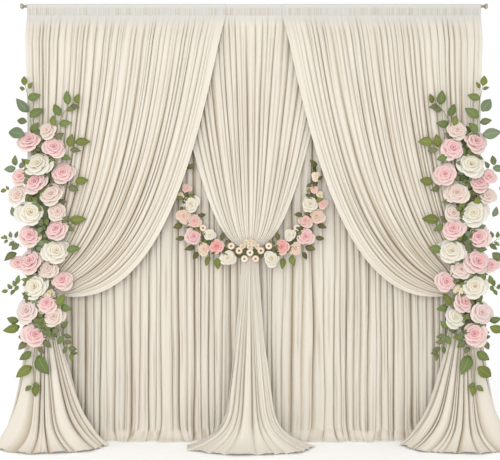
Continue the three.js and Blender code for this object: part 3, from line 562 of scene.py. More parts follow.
def centre_sheet():
    """The fan above the tie and the tail below it, as one run of rows."""
    high = np.concatenate([SEAM_Z - SEAM_DROPS, np.linspace(2.60, CENTRE_TIE_Z + 0.02, 38)])
    fall = 1 - (1 - np.linspace(0, 1, 44)) ** TAIL_ROWS_DRAWN_DOWN
    lower = CENTRE_TIE_Z * (1 - fall)
    levels = np.concatenate([high, lower])
    upper_count = len(high)
    share, height, shade, opened = two_sets(
        CENTRE_FOLDS, CENTRE_TAIL_FOLDS, levels, (31, 32), CENTRE_TIE_Z + 0.16, 0.16)
    # Painted light: the tail's fold tones are lifted, most in its upper part, to offset the shade under
    # the garland.
    shade = shade + opened * (0.42 + 0.40 * smoothstep(levels, 0.30, 0.90)[:, None])
    upper = centre_place(share[:upper_count], high[:, None])
    upper_ridge = lerp(0.032, 0.013, smoothstep(SEAM_Z - high, 0.9, 1.54))
    top = centre_place(share[upper_count:], np.full((len(fall), 1), CENTRE_TIE_Z))
    under, under_ridge = tail(top, share[upper_count:], fall, CENTRE_TAIL)
    grid = fall_and_tail(upper, upper_ridge, under, under_ridge, height)
    return grid, shade, seam_sheer(levels, share.shape[1])


centre_heading = heading_strip(
    CENTRE_LEFT, CENTRE_RIGHT, CENTRE_ROUND, CENTRE_SEAM_DEPTH,
    FRONT_OVER, CENTRE_GATHERS, CENTRE_SWELL, seed=22)
centre_panel = cloth_piece("centre_panel_cloth", [centre_heading, centre_sheet()], crepes)
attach(centre_panel, "root")
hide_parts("centre_panel")

# Side panels
# Two long sheets over the centre panel, sewn in at the same seam. Each is swept out to a gather
# under its garland, so that its leading edge hangs in a long curve, and ends in a flared tail.

SIDE_ROUND = 0.01665
SIDE_SEAM_DEPTH = 0.0058
SIDE_LEADING_X = -0.188
SIDE_GATHERS = 98
SIDE_SWELL = 0.0026
SIDE_TAIL_FROM_Z = 1.25
SIDE_TIE_Z = 1.053
SIDE_DROPS = np.array([0, 0.0008, 0.005, 0.011, 0.018, 0.026, 0.035, 0.046, 0.058])
SIDE_NET_X = np.array([
    [-1.522, -1.075, -0.630, -0.188],
    [-1.478, -1.105, -0.710, -0.325],
    [-1.470, -1.285, -0.785, -0.535],
    [-1.468, -1.407, -1.346, -1.285],
])
SIDE_NET_Z = np.array([
    [2.853, 2.853, 2.853, 2.853],
    [2.060, 2.280, 1.740, 2.265],
    [1.620, 1.440, 1.440, 0.825],
    [1.150, 1.095, 1.040, 0.985],
])
SIDE_TAIL = {"x": -1.330, "reach": 0.360, "back": 0.155, "front": 0.180, "slack": 0.20,
             "slope": 0.56, "front_slope": 0.6, "turn": 8, "front_turn": 20, "top": 0.011}
LEFT_FOLDS = [
    (0.7, (40,)), (0.9, (47, 17)), (1.0, (47, 50)), (0.9, (50, 43)), (1.0, (37, 37)),
    (0.9, (24, 50)), (1.0, (53, 37, 50)), (0.8, (37, 47)), (0.9, (27, 53)), (1.0, (40, 20, 47)),
    (0.9, (33, 33, 40)), (1.0, (33, 20, 43)), (0.8, (50, 40)), (0.5, (28, 16, 52)),
]
# The middle folds of the two tail lists and x, reach, slack, slope and turn of SIDE_TAIL were worked
# out by a scratch script from places read off the photo.
LEFT_TAIL_FOLDS = [
    (0.7, (36, 36, 36), 0.12), (0.8, (48, 49), 0.12), (0.8, (69, 69, 69, 69), 0.04),
    (1.0, (37, 38), 0.3), (1.0, (30, 29), 0.3), (1.1, (42, 42), 0.15), (0.6, (23,)),
    (0.9, (56, 57), 0.05), (0.9, (22, 23), 0.3), (1.0, (46, 46), 0.2), (0.8, (22, 22, 22), 0.2),
    (0.8, (22, 22), 0.2), (0.8, (22, 22), 0.2), (0.8, (21, 22, 21), 0.2),
]
RIGHT_FOLDS = [
    (0.8, (47,)), (0.8, (50, 43)), (1.0, (40, 33)), (0.9, (33, 47, 40)), (0.9, (50, 30)),
    (1.0, (37, 23, 40)), (0.8, (43, 37)), (1.0, (27, 40, 33)), (0.8, (44, 30)), (1.0, (33, 47)),
    (0.9, (40, 33, 47)), (1.0, (54, 40)), (0.9, (30, 37, 40)), (0.5, (30, 18, 54)),
]
RIGHT_TAIL_FOLDS = [
    (0.7, (36, 36, 36), 0.12), (0.8, (49, 49), 0.12), (0.8, (63, 63, 63, 63), 0.04), (0.6, (30,)),
    (1.0, (36, 36), 0.25), (1.1, (40, 39), 0.15), (1.0, (27, 28), 0.2), (0.6, (24,)), (0.6, (22,)),
    (0.9, (47, 48), 0.05), (0.7, (23,)), (1.0, (45, 45, 46), 0.15), (0.8, (23, 23, 23), 0.2),
    (0.8, (23, 23, 23), 0.2), (0.8, (23, 23, 22), 0.2),
]


def cubic_weights(t):
    """The four weights of a cubic curve: (1-t)^3, 3t(1-t)^2, 3t^2(1-t), t^3."""
    return np.stack([(1 - t) ** 3, 3 * t * (1 - t) ** 2, 3 * t ** 2 * (1 - t), t ** 3], axis=-1)


def side_place(share, fall):
    """A point of the swag, from the net of four by four places: share across, fall down. It
    stands 0.07 out below the heading and farther towards the gather and the leading edge."""
    down = cubic_weights(fall)
    over = cubic_weights(share)
    x = np.einsum("jr,jic,rc->ji", down, over, SIDE_NET_X)
    z = np.einsum("jr,jic,rc->ji", down, over, SIDE_NET_Z)
    fall = fall[:, None]
    depth = lerp(SIDE_SEAM_DEPTH, 0.070, clamp((SEAM_Z - z) / 0.200)) + 0.034 * fall ** 3
    depth = depth + 0.030 * (1 - (2 * share - 1) ** 2) * smoothstep(fall, 0.7, 1)
    depth = depth + 0.096 * share * fall * (1 - fall)
    return np.stack([x, ROD_Y - depth, z], axis=2)


def side_sheet(folds, tail_folds, seed):
    """The swag above the tie and the tail below it, as one run of rows, for the left side."""
    swag = np.concatenate([SIDE_DROPS, np.linspace(0.074, 0.990, 52)])
    fall = 1 - (1 - np.linspace(0, 1, 46)) ** TAIL_ROWS_DRAWN_DOWN
    levels = np.concatenate([SEAM_Z - 1.8 * swag, SIDE_TIE_Z * (1 - fall)])
    count = len(swag)
    share, height, shade, _ = two_sets(
        folds, tail_folds, levels, (seed, seed + 5), SIDE_TAIL_FROM_Z, 0.20)
    # Painted shade: the swag's fold tones grow darker towards the gather, and the tail's tones are
    # darkened throughout.
    shade[:count] -= 0.30 * smoothstep(swag, 0.10, 0.90)[:, None]
    shade[count:] = 0.84 * shade[count:]
    upper = side_place(share[:count], swag)
    upper_ridge = lerp(0.034, 0.011, swag ** 2)
    top = side_place(share[count:], np.ones(len(fall)))
    under, under_ridge = tail(top, share[count:], fall, SIDE_TAIL)
    grid = fall_and_tail(upper, upper_ridge, under, under_ridge, height)
    return grid, shade, seam_sheer(levels, share.shape[1])


for side, hand, folds, tail_folds, seed in (
    ("left", 1, LEFT_FOLDS, LEFT_TAIL_FOLDS, 41),
    ("right", -1, RIGHT_FOLDS, RIGHT_TAIL_FOLDS, 51),
):
    heading = heading_strip(-HALF_WIDTH, SIDE_LEADING_X, SIDE_ROUND, SIDE_SEAM_DEPTH,
                            FRONT_OVER, SIDE_GATHERS, SIDE_SWELL, seed)
    parts = [heading, side_sheet(folds, tail_folds, seed)]
    if hand < 0:
        parts = [(grid[:, ::-1] * (-1, 1, 1), fold[:, ::-1], sheer[:, ::-1])
                 for grid, fold, sheer in parts]
    side_panel = cloth_piece(side + "_panel_cloth", parts, crepes)
    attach(side_panel, "root")
    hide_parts("side_panel_" + side)

# Roses
# Foam and silk heads on the garlands, pushed into the foliage by short stalks: rolled petals in
# the heart and wider ones round it, in pink, white, blush, cream and lilac.

GOLDEN_ANGLE = math.radians(137.5)
ROSE_PETALS = 16
SMALL_ROSE_PETALS = 14
BLOSSOM_PETALS = 8
ROSE_SORTS = ((60, 99, ROSE_PETALS), (30, 60, SMALL_ROSE_PETALS), (0, 30, BLOSSOM_PETALS))
PETAL_THICKNESS = 0.0012
PETAL_ROUGHNESS = 0.62
PETAL_SHEEN = 0.2
PETAL_SPECULAR = 0.3
SIDE_SPREAD = 1.12
CENTRE_SPREAD = 1.06
SIDE_LEAN = 32
CENTRE_LEAN = 22
SIDE_BAND = np.array([
    (-1.395, 2.090, 0.1249), (-1.400, 1.760, 0.1269), (-1.390, 1.450, 0.1309),
    (-1.385, 1.200, 0.1509), (-1.385, 1.000, 0.1649), (-1.380, 0.850, 0.1749),
    (-1.395, 0.690, 0.1891),
])
CENTRE_BAND = np.array([
    (-0.462, 1.700, 0.052), (-0.440, 1.500, 0.062), (-0.350, 1.350, 0.086),
    (-0.205, 1.265, 0.118), (-0.027, 1.260, 0.1393), (0.151, 1.265, 0.118),
    (0.296, 1.350, 0.086), (0.390, 1.510, 0.062), (0.405, 1.830, 0.052),
])
BAND_HALF = 0.013
ROSE_TINTS = {
    "pink": ((0.70, 0.53, 0.50), (0.58, 0.17, 0.20)),
    "salmon": ((0.65, 0.46, 0.40), (0.58, 0.23, 0.19)),
    "rose": ((0.66, 0.47, 0.45), (0.56, 0.19, 0.20)),
    "deep": ((0.67, 0.38, 0.34), (0.53, 0.09, 0.10)),
    "blush": ((0.67, 0.58, 0.51), (0.58, 0.36, 0.29)),
    "peach": ((0.64, 0.50, 0.40), (0.55, 0.31, 0.21)),
    "white": ((0.67, 0.64, 0.57), (0.60, 0.50, 0.29)),
    "ivory": ((0.65, 0.61, 0.52), (0.53, 0.44, 0.28)),
    "cream": ((0.71, 0.63, 0.48), (0.56, 0.40, 0.22)),
    "lilac": ((0.68, 0.58, 0.54), (0.56, 0.30, 0.29)),
    "gold": ((0.67, 0.58, 0.44), (0.48, 0.34, 0.18)),
}
OUTER_CREAM = (0.66, 0.61, 0.51)
# Places and sizes were read off the photo in pixels, and most were turned into millimetres by a
# scratch script. The same holds for the leaves and stalks below.
LEFT_ROSES = [
    (-1350, 2055, 59, "blush"), (-1460, 1985, 78, "pink"), (-1310, 1945, 72, "pink"),
    (-1405, 1835, 88, "white"), (-1245, 1775, 72, "pink"), (-1530, 1755, 52, "pink"),
    (-1425, 1720, 75, "pink"), (-1540, 1640, 59, "blush"), (-1320, 1640, 78, "blush"),
    (-1460, 1520, 85, "white"), (-1285, 1525, 59, "blush"), (-1285, 1410, 72, "pink"),
    (-1460, 1370, 72, "pink"), (-1285, 1265, 85, "white"), (-1535, 1195, 46, "pink"),
    (-1445, 1200, 81, "pink"), (-1335, 1155, 65, "blush"), (-1245, 1080, 65, "pink"),
    (-1415, 1040, 81, "white"), (-1330, 1000, 33, "cream"), (-1340, 935, 68, "pink"),
    (-1465, 885, 72, "lilac"), (-1290, 845, 68, "blush"), (-1415, 730, 78, "pink"),
]
RIGHT_ROSES = [
    (1325, 2060, 59, "blush"), (1440, 1980, 78, "pink"), (1295, 1940, 72, "pink"),
    (1410, 1830, 88, "white"), (1250, 1770, 72, "pink"), (1530, 1755, 52, "pink"),
    (1465, 1710, 65, "pink"), (1325, 1650, 78, "blush"), (1530, 1630, 55, "blush"),
    (1435, 1515, 85, "white"), (1295, 1520, 59, "blush"), (1300, 1415, 72, "pink"),
    (1465, 1365, 72, "pink"), (1285, 1265, 85, "white"), (1445, 1200, 81, "pink"),
    (1545, 1180, 46, "pink"), (1340, 1150, 65, "blush"), (1240, 1075, 65, "pink"),
    (1430, 1040, 81, "white"), (1325, 1020, 33, "cream"), (1355, 940, 68, "pink"),
    (1465, 875, 72, "lilac"), (1295, 845, 68, "white"), (1420, 735, 78, "pink"),
]
CENTRE_ROSES = [
    (-445, 1685, 33, "salmon"), (-415, 1580, 59, "ivory"), (-465, 1500, 53, "peach"),
    (-395, 1465, 49, "salmon"), (-400, 1365, 59, "rose"), (-290, 1375, 39, "ivory"),
    (-330, 1285, 43, "peach"), (-245, 1300, 49, "deep"), (-172, 1224, 54, "ivory"),
    (112, 1224, 54, "ivory"), (185, 1300, 49, "deep"), (270, 1285, 43, "peach"),
    (235, 1375, 39, "ivory"), (340, 1365, 59, "rose"), (340, 1470, 49, "salmon"),
    (415, 1500, 53, "peach"), (370, 1580, 53, "ivory"), (455, 1580, 36, "salmon"),
    (395, 1685, 33, "salmon"), (410, 1765, 33, "cream"),
    (-490, 1640, 26, "cream"), (435, 1640, 26, "cream"),
    (-72, 1302, 20, "gold"), (-50, 1326, 20, "gold"), (-27, 1300, 22, "gold"),
    (-4, 1326, 20, "gold"), (18, 1302, 20, "gold"), (-27, 1336, 18, "gold"),
]


def thin_bodies(front, thickness):
    """Closed thin bodies from a stack of grids of points (bodies, along, across, 3). The back
    skin lies thickness behind the front one, and rings round each step along join the two."""
    bodies, along, across, _ = front.shape
    normal = np.cross(np.gradient(front, axis=1), np.gradient(front, axis=2))
    normal /= np.maximum(np.linalg.norm(normal, axis=3, keepdims=True), 1e-9)
    back = front - thickness * normal
    ring = 2 * across
    points = np.concatenate([front, back[:, :, ::-1]], axis=2)
    step = np.arange(along - 1)[:, None] * ring
    here = np.arange(ring)[None, :]
    beside = (here + 1) % ring
    sides = np.stack([step + here, step + ring + here, step + ring + beside, step + beside], 2)
    side = np.arange(across - 1)
    cap = np.stack([side, side + 1, ring - 2 - side, ring - 1 - side], axis=1)
    end = (cap + (along - 1) * ring)[:, ::-1]
    one = np.concatenate([sides.reshape(-1, 4), cap, end])
    quads = one[None] + (np.arange(bodies) * along * ring)[:, None, None]
    return points.reshape(-1, 3), quads.reshape(-1, 4)


def both_skins(tints):
    """A colour for each point of thin bodies: the front skin, then the back one in reverse."""
    tints = np.concatenate([tints, tints[:, :, ::-1]], axis=2).reshape(-1, 3)
    return np.concatenate([clamp(tints), np.ones((len(tints), 1))], axis=1)


def along_band(band, places, steps=None):
    """The band's columns at places counted in its rows, or in steps where its rows lie on them."""
    steps = np.arange(len(band)) if steps is None else steps
    return np.stack([np.interp(places, steps, column) for column in band.T], axis=1)


def band_depth(band, x, z):
    """How far in front of the rod the nearest point of the garland's band lies."""
    fine = along_band(band, np.linspace(0, len(band) - 1, 200))
    apart = (fine[None, :, 0] - np.ravel(x)[:, None]) ** 2
    apart = apart + (fine[None, :, 1] - np.ravel(z)[:, None]) ** 2
    return fine[apart.argmin(axis=1), 2].reshape(np.shape(x))


def rose_heads(roses, band, seed, petals_each, lean, spread):
    """Rolled petals by the golden angle. With o the order from 0 in the heart to 1 outside, a
    petal runs from radius 0.24 o to 0.08 + 0.45 o^1.1 + 0.45 sin(90 o^1.15), bowed as t^1.4;
    rises from 0.06 to 0.42 below its top to 0.54 - 0.44 o^1.8 - 0.14 (1 - o)^5; and covers a
    half angle from 112 degrees down to 62, the first one all the way round. Its lip curls back
    by 0.09 and out by 0.06. But for the innermost its end is round with a slight point:
    t (1 + 0.09 (1 - |s|) - 0.28 |s|^2.6). The heads lean by up to lean degrees and are spread
    times their listed size. Returns points, quads, tints."""
    rng = np.random.default_rng(seed)
    x, z, size = (np.array([rose[k] for rose in roses]) / 1000 for k in range(3))
    depth = band_depth(band, x, z) + BAND_HALF + 0.05 * size
    count = len(roses)
    o = ((np.arange(petals_each) + 0.5) / petals_each)[None, :, None, None]
    t = np.array([0, 0.42, 0.72, 0.89, 1.0])[None, None, :, None]
    s = np.array([-1, -0.88, -0.62, -0.32, 0, 0.32, 0.62, 0.88, 1])[None, None, None, :]
    each = (count, petals_each, 1, 1)
    half_angle = np.linspace(112, 62, petals_each)
    half_angle[0] = 180
    start = rng.uniform(0, 2 * np.pi, (count, 1, 1, 1))
    start = start + np.arange(petals_each)[None, :, None, None] * GOLDEN_ANGLE
    start = start + rng.uniform(-0.16, 0.16, each)
    angle = start + s * np.radians(half_angle)[None, :, None, None]
    length = t * (1 + (0.09 * (1 - np.abs(s)) - 0.28 * np.abs(s) ** 2.6) * smoothstep(o, 0, 0.25))
    inner = 0.24 * o
    outer = 0.08 + 0.45 * o ** 1.1 + 0.45 * np.sin(np.pi / 2 * o ** 1.15)
    outer = outer * rng.uniform(0.94, 1.05, each)
    lip = smoothstep(length, 0.70, 1) * o
    radius = inner + (outer - inner) * length ** 1.4 + 0.05 * s * (1 - o) + 0.06 * lip
    radius = np.maximum(radius, 0.004)
    top = 0.54 - 0.44 * o ** 1.8 - 0.14 * (1 - o) ** 5 + rng.uniform(-0.03, 0.03, each)
    base = np.maximum(top - lerp(0.06, 0.42, np.sqrt(o)), -0.20)
    rise = lerp(base, top, 1 - np.abs(1 - length) ** 1.6) - 0.09 * lip
    rise = rise + 0.04 * length ** 2 * o * np.sin(3.2 * s + rng.uniform(0, 6.3, each))
    local = np.stack([radius * np.cos(angle), -rise, radius * np.sin(angle)], axis=-1)

    lean = np.radians(lean * rng.uniform(0.45, 1, count))
    way = np.pi + rng.uniform(-1.0, 1.0, count)
    axis = np.stack([np.cos(way), np.zeros(count), np.sin(way)], axis=1)
    cross = np.zeros((count, 3, 3))
    cross[:, 0, 1], cross[:, 0, 2] = -axis[:, 2], axis[:, 1]
    cross[:, 1, 0], cross[:, 1, 2] = axis[:, 2], -axis[:, 0]
    cross[:, 2, 0], cross[:, 2, 1] = -axis[:, 1], axis[:, 0]
    bend = np.sin(lean)[:, None, None] * cross
    bend = bend + (1 - np.cos(lean))[:, None, None] * (cross @ cross) + np.eye(3)
    local = np.einsum("nab,npijb->npija", bend, local)
    place = np.stack([x, ROD_Y - depth, z], axis=1)[:, None, None, None, :]
    front = place + spread * local * size[:, None, None, None, None]
    front = front.reshape(-1, t.size, s.size, 3)
    points, quads = thin_bodies(front, PETAL_THICKNESS)

    edge = np.array([ROSE_TINTS[rose[3]][0] for rose in roses])[:, None, None, None, :]
    heart = np.array([ROSE_TINTS[rose[3]][1] for rose in roses])[:, None, None, None, :]
    # Petals are a deeper colour at the base and paler at the lip: partly the rose's own deeper heart,
    # partly painted shade where petals overlap and painted light on their rims.
    pale = clamp(0.04 + 0.34 * o + 0.80 * smoothstep(t, 0.60, 0.98))[..., None]
    tints = lerp(heart, edge, pale) * rng.uniform(0.97, 1.03, each)[..., None]
    tints = lerp(tints, np.array(OUTER_CREAM), 0.45 * smoothstep(o, 0.70, 1.0)[..., None])
    tints = np.broadcast_to(tints, (count, petals_each, t.size, s.size, 3))
    return points, quads, both_skins(tints.reshape(-1, t.size, s.size, 3))


def join_bodies(parts):
    """Several sets of points, quads and tints as one."""
    starts = np.cumsum([0] + [len(part[0]) for part in parts[:-1]])
    points = np.concatenate([part[0] for part in parts])
    quads = np.concatenate([part[1] + start for part, start in zip(parts, starts)])
    tints = np.concatenate([part[2] for part in parts])
    return points, quads, tints


def tinted(name, roughness):
    """A material that takes its colour from the mesh's mark tint. Returns it and its shader."""
    material = bpy.data.materials.new(name)
    material.use_nodes = True
    shader = material.node_tree.nodes["Principled BSDF"]
    tint = material.node_tree.nodes.new("ShaderNodeAttribute")
    tint.attribute_name = "tint"
    material.node_tree.links.new(tint.outputs["Color"], shader.inputs["Base Color"])
    shader.inputs["Roughness"].default_value = roughness
    return material, shader


petals, petal_shader = tinted("silk petals", PETAL_ROUGHNESS)
petal_shader.inputs["Sheen Weight"].default_value = PETAL_SHEEN
petal_shader.inputs["Specular IOR Level"].default_value = PETAL_SPECULAR

mirrored_band = SIDE_BAND * (-1, 1, 1)
for name, node, roses, band, lean, spread, seed in (
    ("left_garland_roses", "garland_left", LEFT_ROSES, SIDE_BAND, SIDE_LEAN, SIDE_SPREAD, 61),
    ("right_garland_roses", "garland_right", RIGHT_ROSES, mirrored_band, SIDE_LEAN, SIDE_SPREAD, 62),
    ("centre_garland_roses", "garland_centre", CENTRE_ROSES, CENTRE_BAND, CENTRE_LEAN, CENTRE_SPREAD, 63),
):
    parts = []
    for low, high, each in ROSE_SORTS:
        sort = [rose for rose in roses if low <= rose[2] < high]
        if sort:
            parts.append(rose_heads(sort, band, seed + each, each, lean, spread))
    points, quads, tints = join_bodies(parts)
    rose_piece = new_piece(name, points, quads, petals, tints=tints)
    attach(rose_piece, "root")
    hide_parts(node)

# Leaves and foliage
# Pressed cloth leaves on short stalks and sprigs, wired with the roses into a leafy band that is
# pinned to the cloth over each gather.

LEAF_THICKNESS = 0.0008
LEAF_SCALE = 1.06
LEAF_GAP = 0.004
LEAF_ROUGHNESS = 0.6
LEAF_SPECULAR = 0.25
STALK_RADIUS = 0.0016
STALK_TINT = (0.22, 0.22, 0.10, 1.0)
MAT_THICKNESS = 0.010
# The mat's near-black green is partly its own colour and partly painted shade for the gaps between the
# roses.
MAT_GREEN_AND_SHADE = (0.080, 0.090, 0.035, 1.0)
MAT_ROWS = 70
MAT_COLUMNS = 9
SIDE_FOLIAGE = (0.105, 220, (36, 66), ["deep", "green", "blue", "deep", "olive"], 0.0)
CENTRE_FOLIAGE = (0.045, 90, (26, 46), ["moss", "moss", "olive"], 0.10)
LEAF_TINTS = {
    "deep": (0.142, 0.156, 0.066),
    "moss": (0.102, 0.100, 0.036),
    "green": (0.134, 0.177, 0.054),
    "blue": (0.166, 0.214, 0.120),
    "olive": (0.158, 0.182, 0.040),
}
SIDE_LEAVES = [
    (-1500, 2385, 100, 65, "olive"), (-1460, 2355, 60, 45, "olive"), (-1515, 2335, 160, 40, "deep"),
    (-1435, 2280, 20, 80, "green"), (-1515, 2225, 130, 105, "blue"), (-1420, 2175, 35, 100, "green"),
    (-1515, 2120, 170, 70, "deep"), (-1430, 2080, 50, 80, "green"), (-1550, 2040, 170, 115, "blue"),
    (-1220, 2275, 95, 85, "green"), (-1155, 2270, 75, 60, "olive"), (-1170, 2215, -10, 60, "deep"),
    (-1195, 2195, 0, 55, "deep"), (-1290, 2195, 115, 80, "green"), (-1310, 2125, 100, 65, "olive"),
    (-1230, 2105, 5, 80, "green"), (-1270, 2025, 40, 60, "deep"), (-1195, 1995, 80, 80, "olive"),
    (-1120, 1985, 5, 90, "olive"), (-1165, 1930, -5, 65, "deep"), (-1225, 1880, -15, 65, "green"),
    (-1560, 1865, 85, 65, "deep"), (-1595, 1810, 190, 70, "blue"), (-1515, 1835, 60, 50, "deep"),
    (-1635, 1665, 190, 40, "olive"), (-1610, 1685, 130, 30, "green"), (-1570, 1530, 110, 65, "blue"),
    (-1125, 1730, 10, 80, "olive"), (-1180, 1680, -20, 65, "deep"), (-1245, 1595, -10, 45, "deep"),
    (-1150, 1480, 5, 100, "olive"), (-1230, 1480, 45, 55, "deep"), (-1200, 1425, -35, 70, "green"),
    (-1175, 1285, 10, 80, "green"), (-1635, 1360, 175, 30, "olive"), (-1620, 1365, 120, 30, "green"),
    (-1615, 1335, 230, 30, "green"), (-1585, 1380, 100, 40, "green"), (-1580, 1320, 215, 40, "green"),
    (-1545, 1380, 80, 45, "deep"), (-1555, 1300, 215, 60, "deep"), (-1585, 1235, 215, 85, "deep"),
    (-1615, 1015, 190, 40, "olive"), (-1585, 1045, 130, 40, "green"), (-1565, 1005, 240, 40, "green"),
    (-1555, 1065, 110, 40, "green"), (-1540, 1030, 240, 40, "green"), (-1530, 1090, 80, 55, "green"),
    (-1565, 775, 195, 100, "olive"), (-1560, 830, 160, 70, "green"), (-1250, 960, 60, 80, "olive"),
    (-1215, 905, -15, 70, "green"), (-1225, 800, 45, 60, "green"), (-1280, 760, 10, 50, "deep"),
    (-1500, 720, 170, 45, "deep"), (-1250, 700, 240, 60, "green"), (-1200, 725, -20, 50, "deep"),
    (-1195, 690, -15, 50, "deep"), (-1220, 635, 250, 45, "green"), (-1170, 645, -15, 50, "deep"),
    (-1160, 620, -10, 45, "deep"), (-1175, 590, -80, 50, "olive"), (-1495, 665, 230, 65, "deep"),
    (-1370, 635, -50, 50, "deep"), (-1335, 675, -40, 65, "deep"), (-1475, 600, 215, 85, "green"),
    (-1360, 540, -60, 130, "green"), (-1485, 495, 215, 110, "olive"), (-1400, 410, -20, 50, "green"),
    (-1455, 390, 220, 50, "green"), (-1405, 375, -95, 70, "olive"),
]
CENTRE_LEAVES = [
    (-420, 1830, 200, 55, "moss"), (-410, 1640, 20, 35, "moss"), (-345, 1510, 5, 50, "moss"),
    (-505, 1435, 200, 60, "moss"), (-490, 1355, 190, 55, "moss"), (-425, 1290, 195, 65, "moss"),
    (-385, 1240, 240, 55, "moss"), (-305, 1205, 250, 65, "olive"), (-240, 1190, 275, 70, "olive"),
    (-205, 1370, 75, 50, "moss"), (-180, 1330, 60, 35, "moss"), (390, 1850, 130, 65, "moss"),
    (356, 1640, 160, 35, "moss"), (291, 1510, 175, 50, "moss"), (450, 1435, -20, 60, "moss"),
    (436, 1355, -10, 55, "moss"), (371, 1290, -15, 65, "moss"), (331, 1240, -60, 55, "moss"),
    (251, 1205, -70, 65, "olive"), (186, 1190, -95, 70, "olive"), (151, 1370, 105, 50, "moss"),
    (126, 1330, 120, 35, "moss"),
]
SIDE_STEMS = [
    [(-1455, 2055), (-1475, 2260), (-1500, 2370)], [(-1295, 2075), (-1265, 2140), (-1240, 2185)],
    [(-1255, 775), (-1230, 690), (-1175, 605)], [(-1410, 690), (-1430, 550), (-1415, 400)],
    [(-1515, 1300), (-1585, 1350), (-1635, 1360)], [(-1510, 1090), (-1560, 1045), (-1605, 1020)],
    [(-1265, 1960), (-1200, 1970), (-1135, 1985)], [(-1255, 1705), (-1190, 1710), (-1135, 1730)],
    [(-1240, 2185), (-1200, 2225), (-1150, 2265)],
]


def leaf_bodies(leaves, band, seed, along=6):
    """Pointed leaves, folded to a shallow V along a pale vein and bowed. Half the width at t is
    0.28 to 0.35 of the length times sin(pi t^0.75)^0.9. Each leaf turns a little about its own
    two lines."""
    rng = np.random.default_rng(seed)
    x, z, turn, length = (np.array([leaf[k] for leaf in leaves], float) for k in range(4))
    x, z, length = x / 1000, z / 1000, LEAF_SCALE * length / 1000
    count = len(leaves)
    t = np.linspace(0, 1, along)[None, :, None]
    s = np.array([-1, -0.10, 0, 0.10, 1])[None, None, :]
    size = length[:, None, None]
    half = size * rng.uniform(0.28, 0.35, (count, 1, 1)) * np.sin(np.pi * (0.02 + 0.96 * t) ** 0.75) ** 0.9
    run = (t - 0.5) * size + 0 * s
    side = half * s
    out = 0.30 * half * np.abs(s) + size * rng.uniform(0.02, 0.12, (count, 1, 1)) * np.sin(np.pi * t)
    roll = np.radians(rng.uniform(-20, 20, count))[:, None, None]
    pitch = np.radians(rng.uniform(-18, 18, count))[:, None, None]
    side, out = side * np.cos(roll) - out * np.sin(roll), side * np.sin(roll) + out * np.cos(roll)
    run, out = run * np.cos(pitch) - out * np.sin(pitch), run * np.sin(pitch) + out * np.cos(pitch)
    way = np.radians(turn)[:, None, None]
    depth = band_depth(band, x, z) + BAND_HALF + LEAF_GAP + rng.uniform(0, 0.012, count)
    px = x[:, None, None] + run * np.cos(way) - side * np.sin(way)
    pz = z[:, None, None] + run * np.sin(way) + side * np.cos(way)
    py = ROD_Y - depth[:, None, None] - out
    front = np.stack([px, py, pz], axis=-1)
    points, quads = thin_bodies(front, LEAF_THICKNESS)
    tint = np.array([LEAF_TINTS[leaf[4]] for leaf in leaves])
    tint = tint * rng.uniform(0.85, 1.15, (count, 1))
    vein = np.array([0.95, 0.85, 1.5, 0.85, 0.95])
    tints = tint[:, None, None, :] * vein[None, None, :, None] * np.ones((1, along, 1, 1))
    return points, quads, both_skins(tints)


def stem_bodies(stems, band, radius):
    """Stalks as square closed rods along three places each."""
    fronts = []
    for stem in stems:
        x, z = np.array(stem, float).T / 1000
        line = np.linspace(0, len(x) - 1, 9)
        x, z = (np.interp(line, np.arange(len(x)), value) for value in (x, z))
        depth = band_depth(band, x, z) + BAND_HALF + LEAF_GAP
        way = np.arctan2(np.gradient(z), np.gradient(x))
        s = np.array([-1.0, 1.0]) * radius
        fronts.append(np.stack([
            x[:, None] - s * np.sin(way)[:, None],
            ROD_Y - depth[:, None] + 0 * s,
            z[:, None] + s * np.cos(way)[:, None],
        ], axis=-1))
    points, quads = thin_bodies(np.array(fronts), 2 * radius)
    tints = np.tile(STALK_TINT, (len(points), 1))
    return points, quads, tints


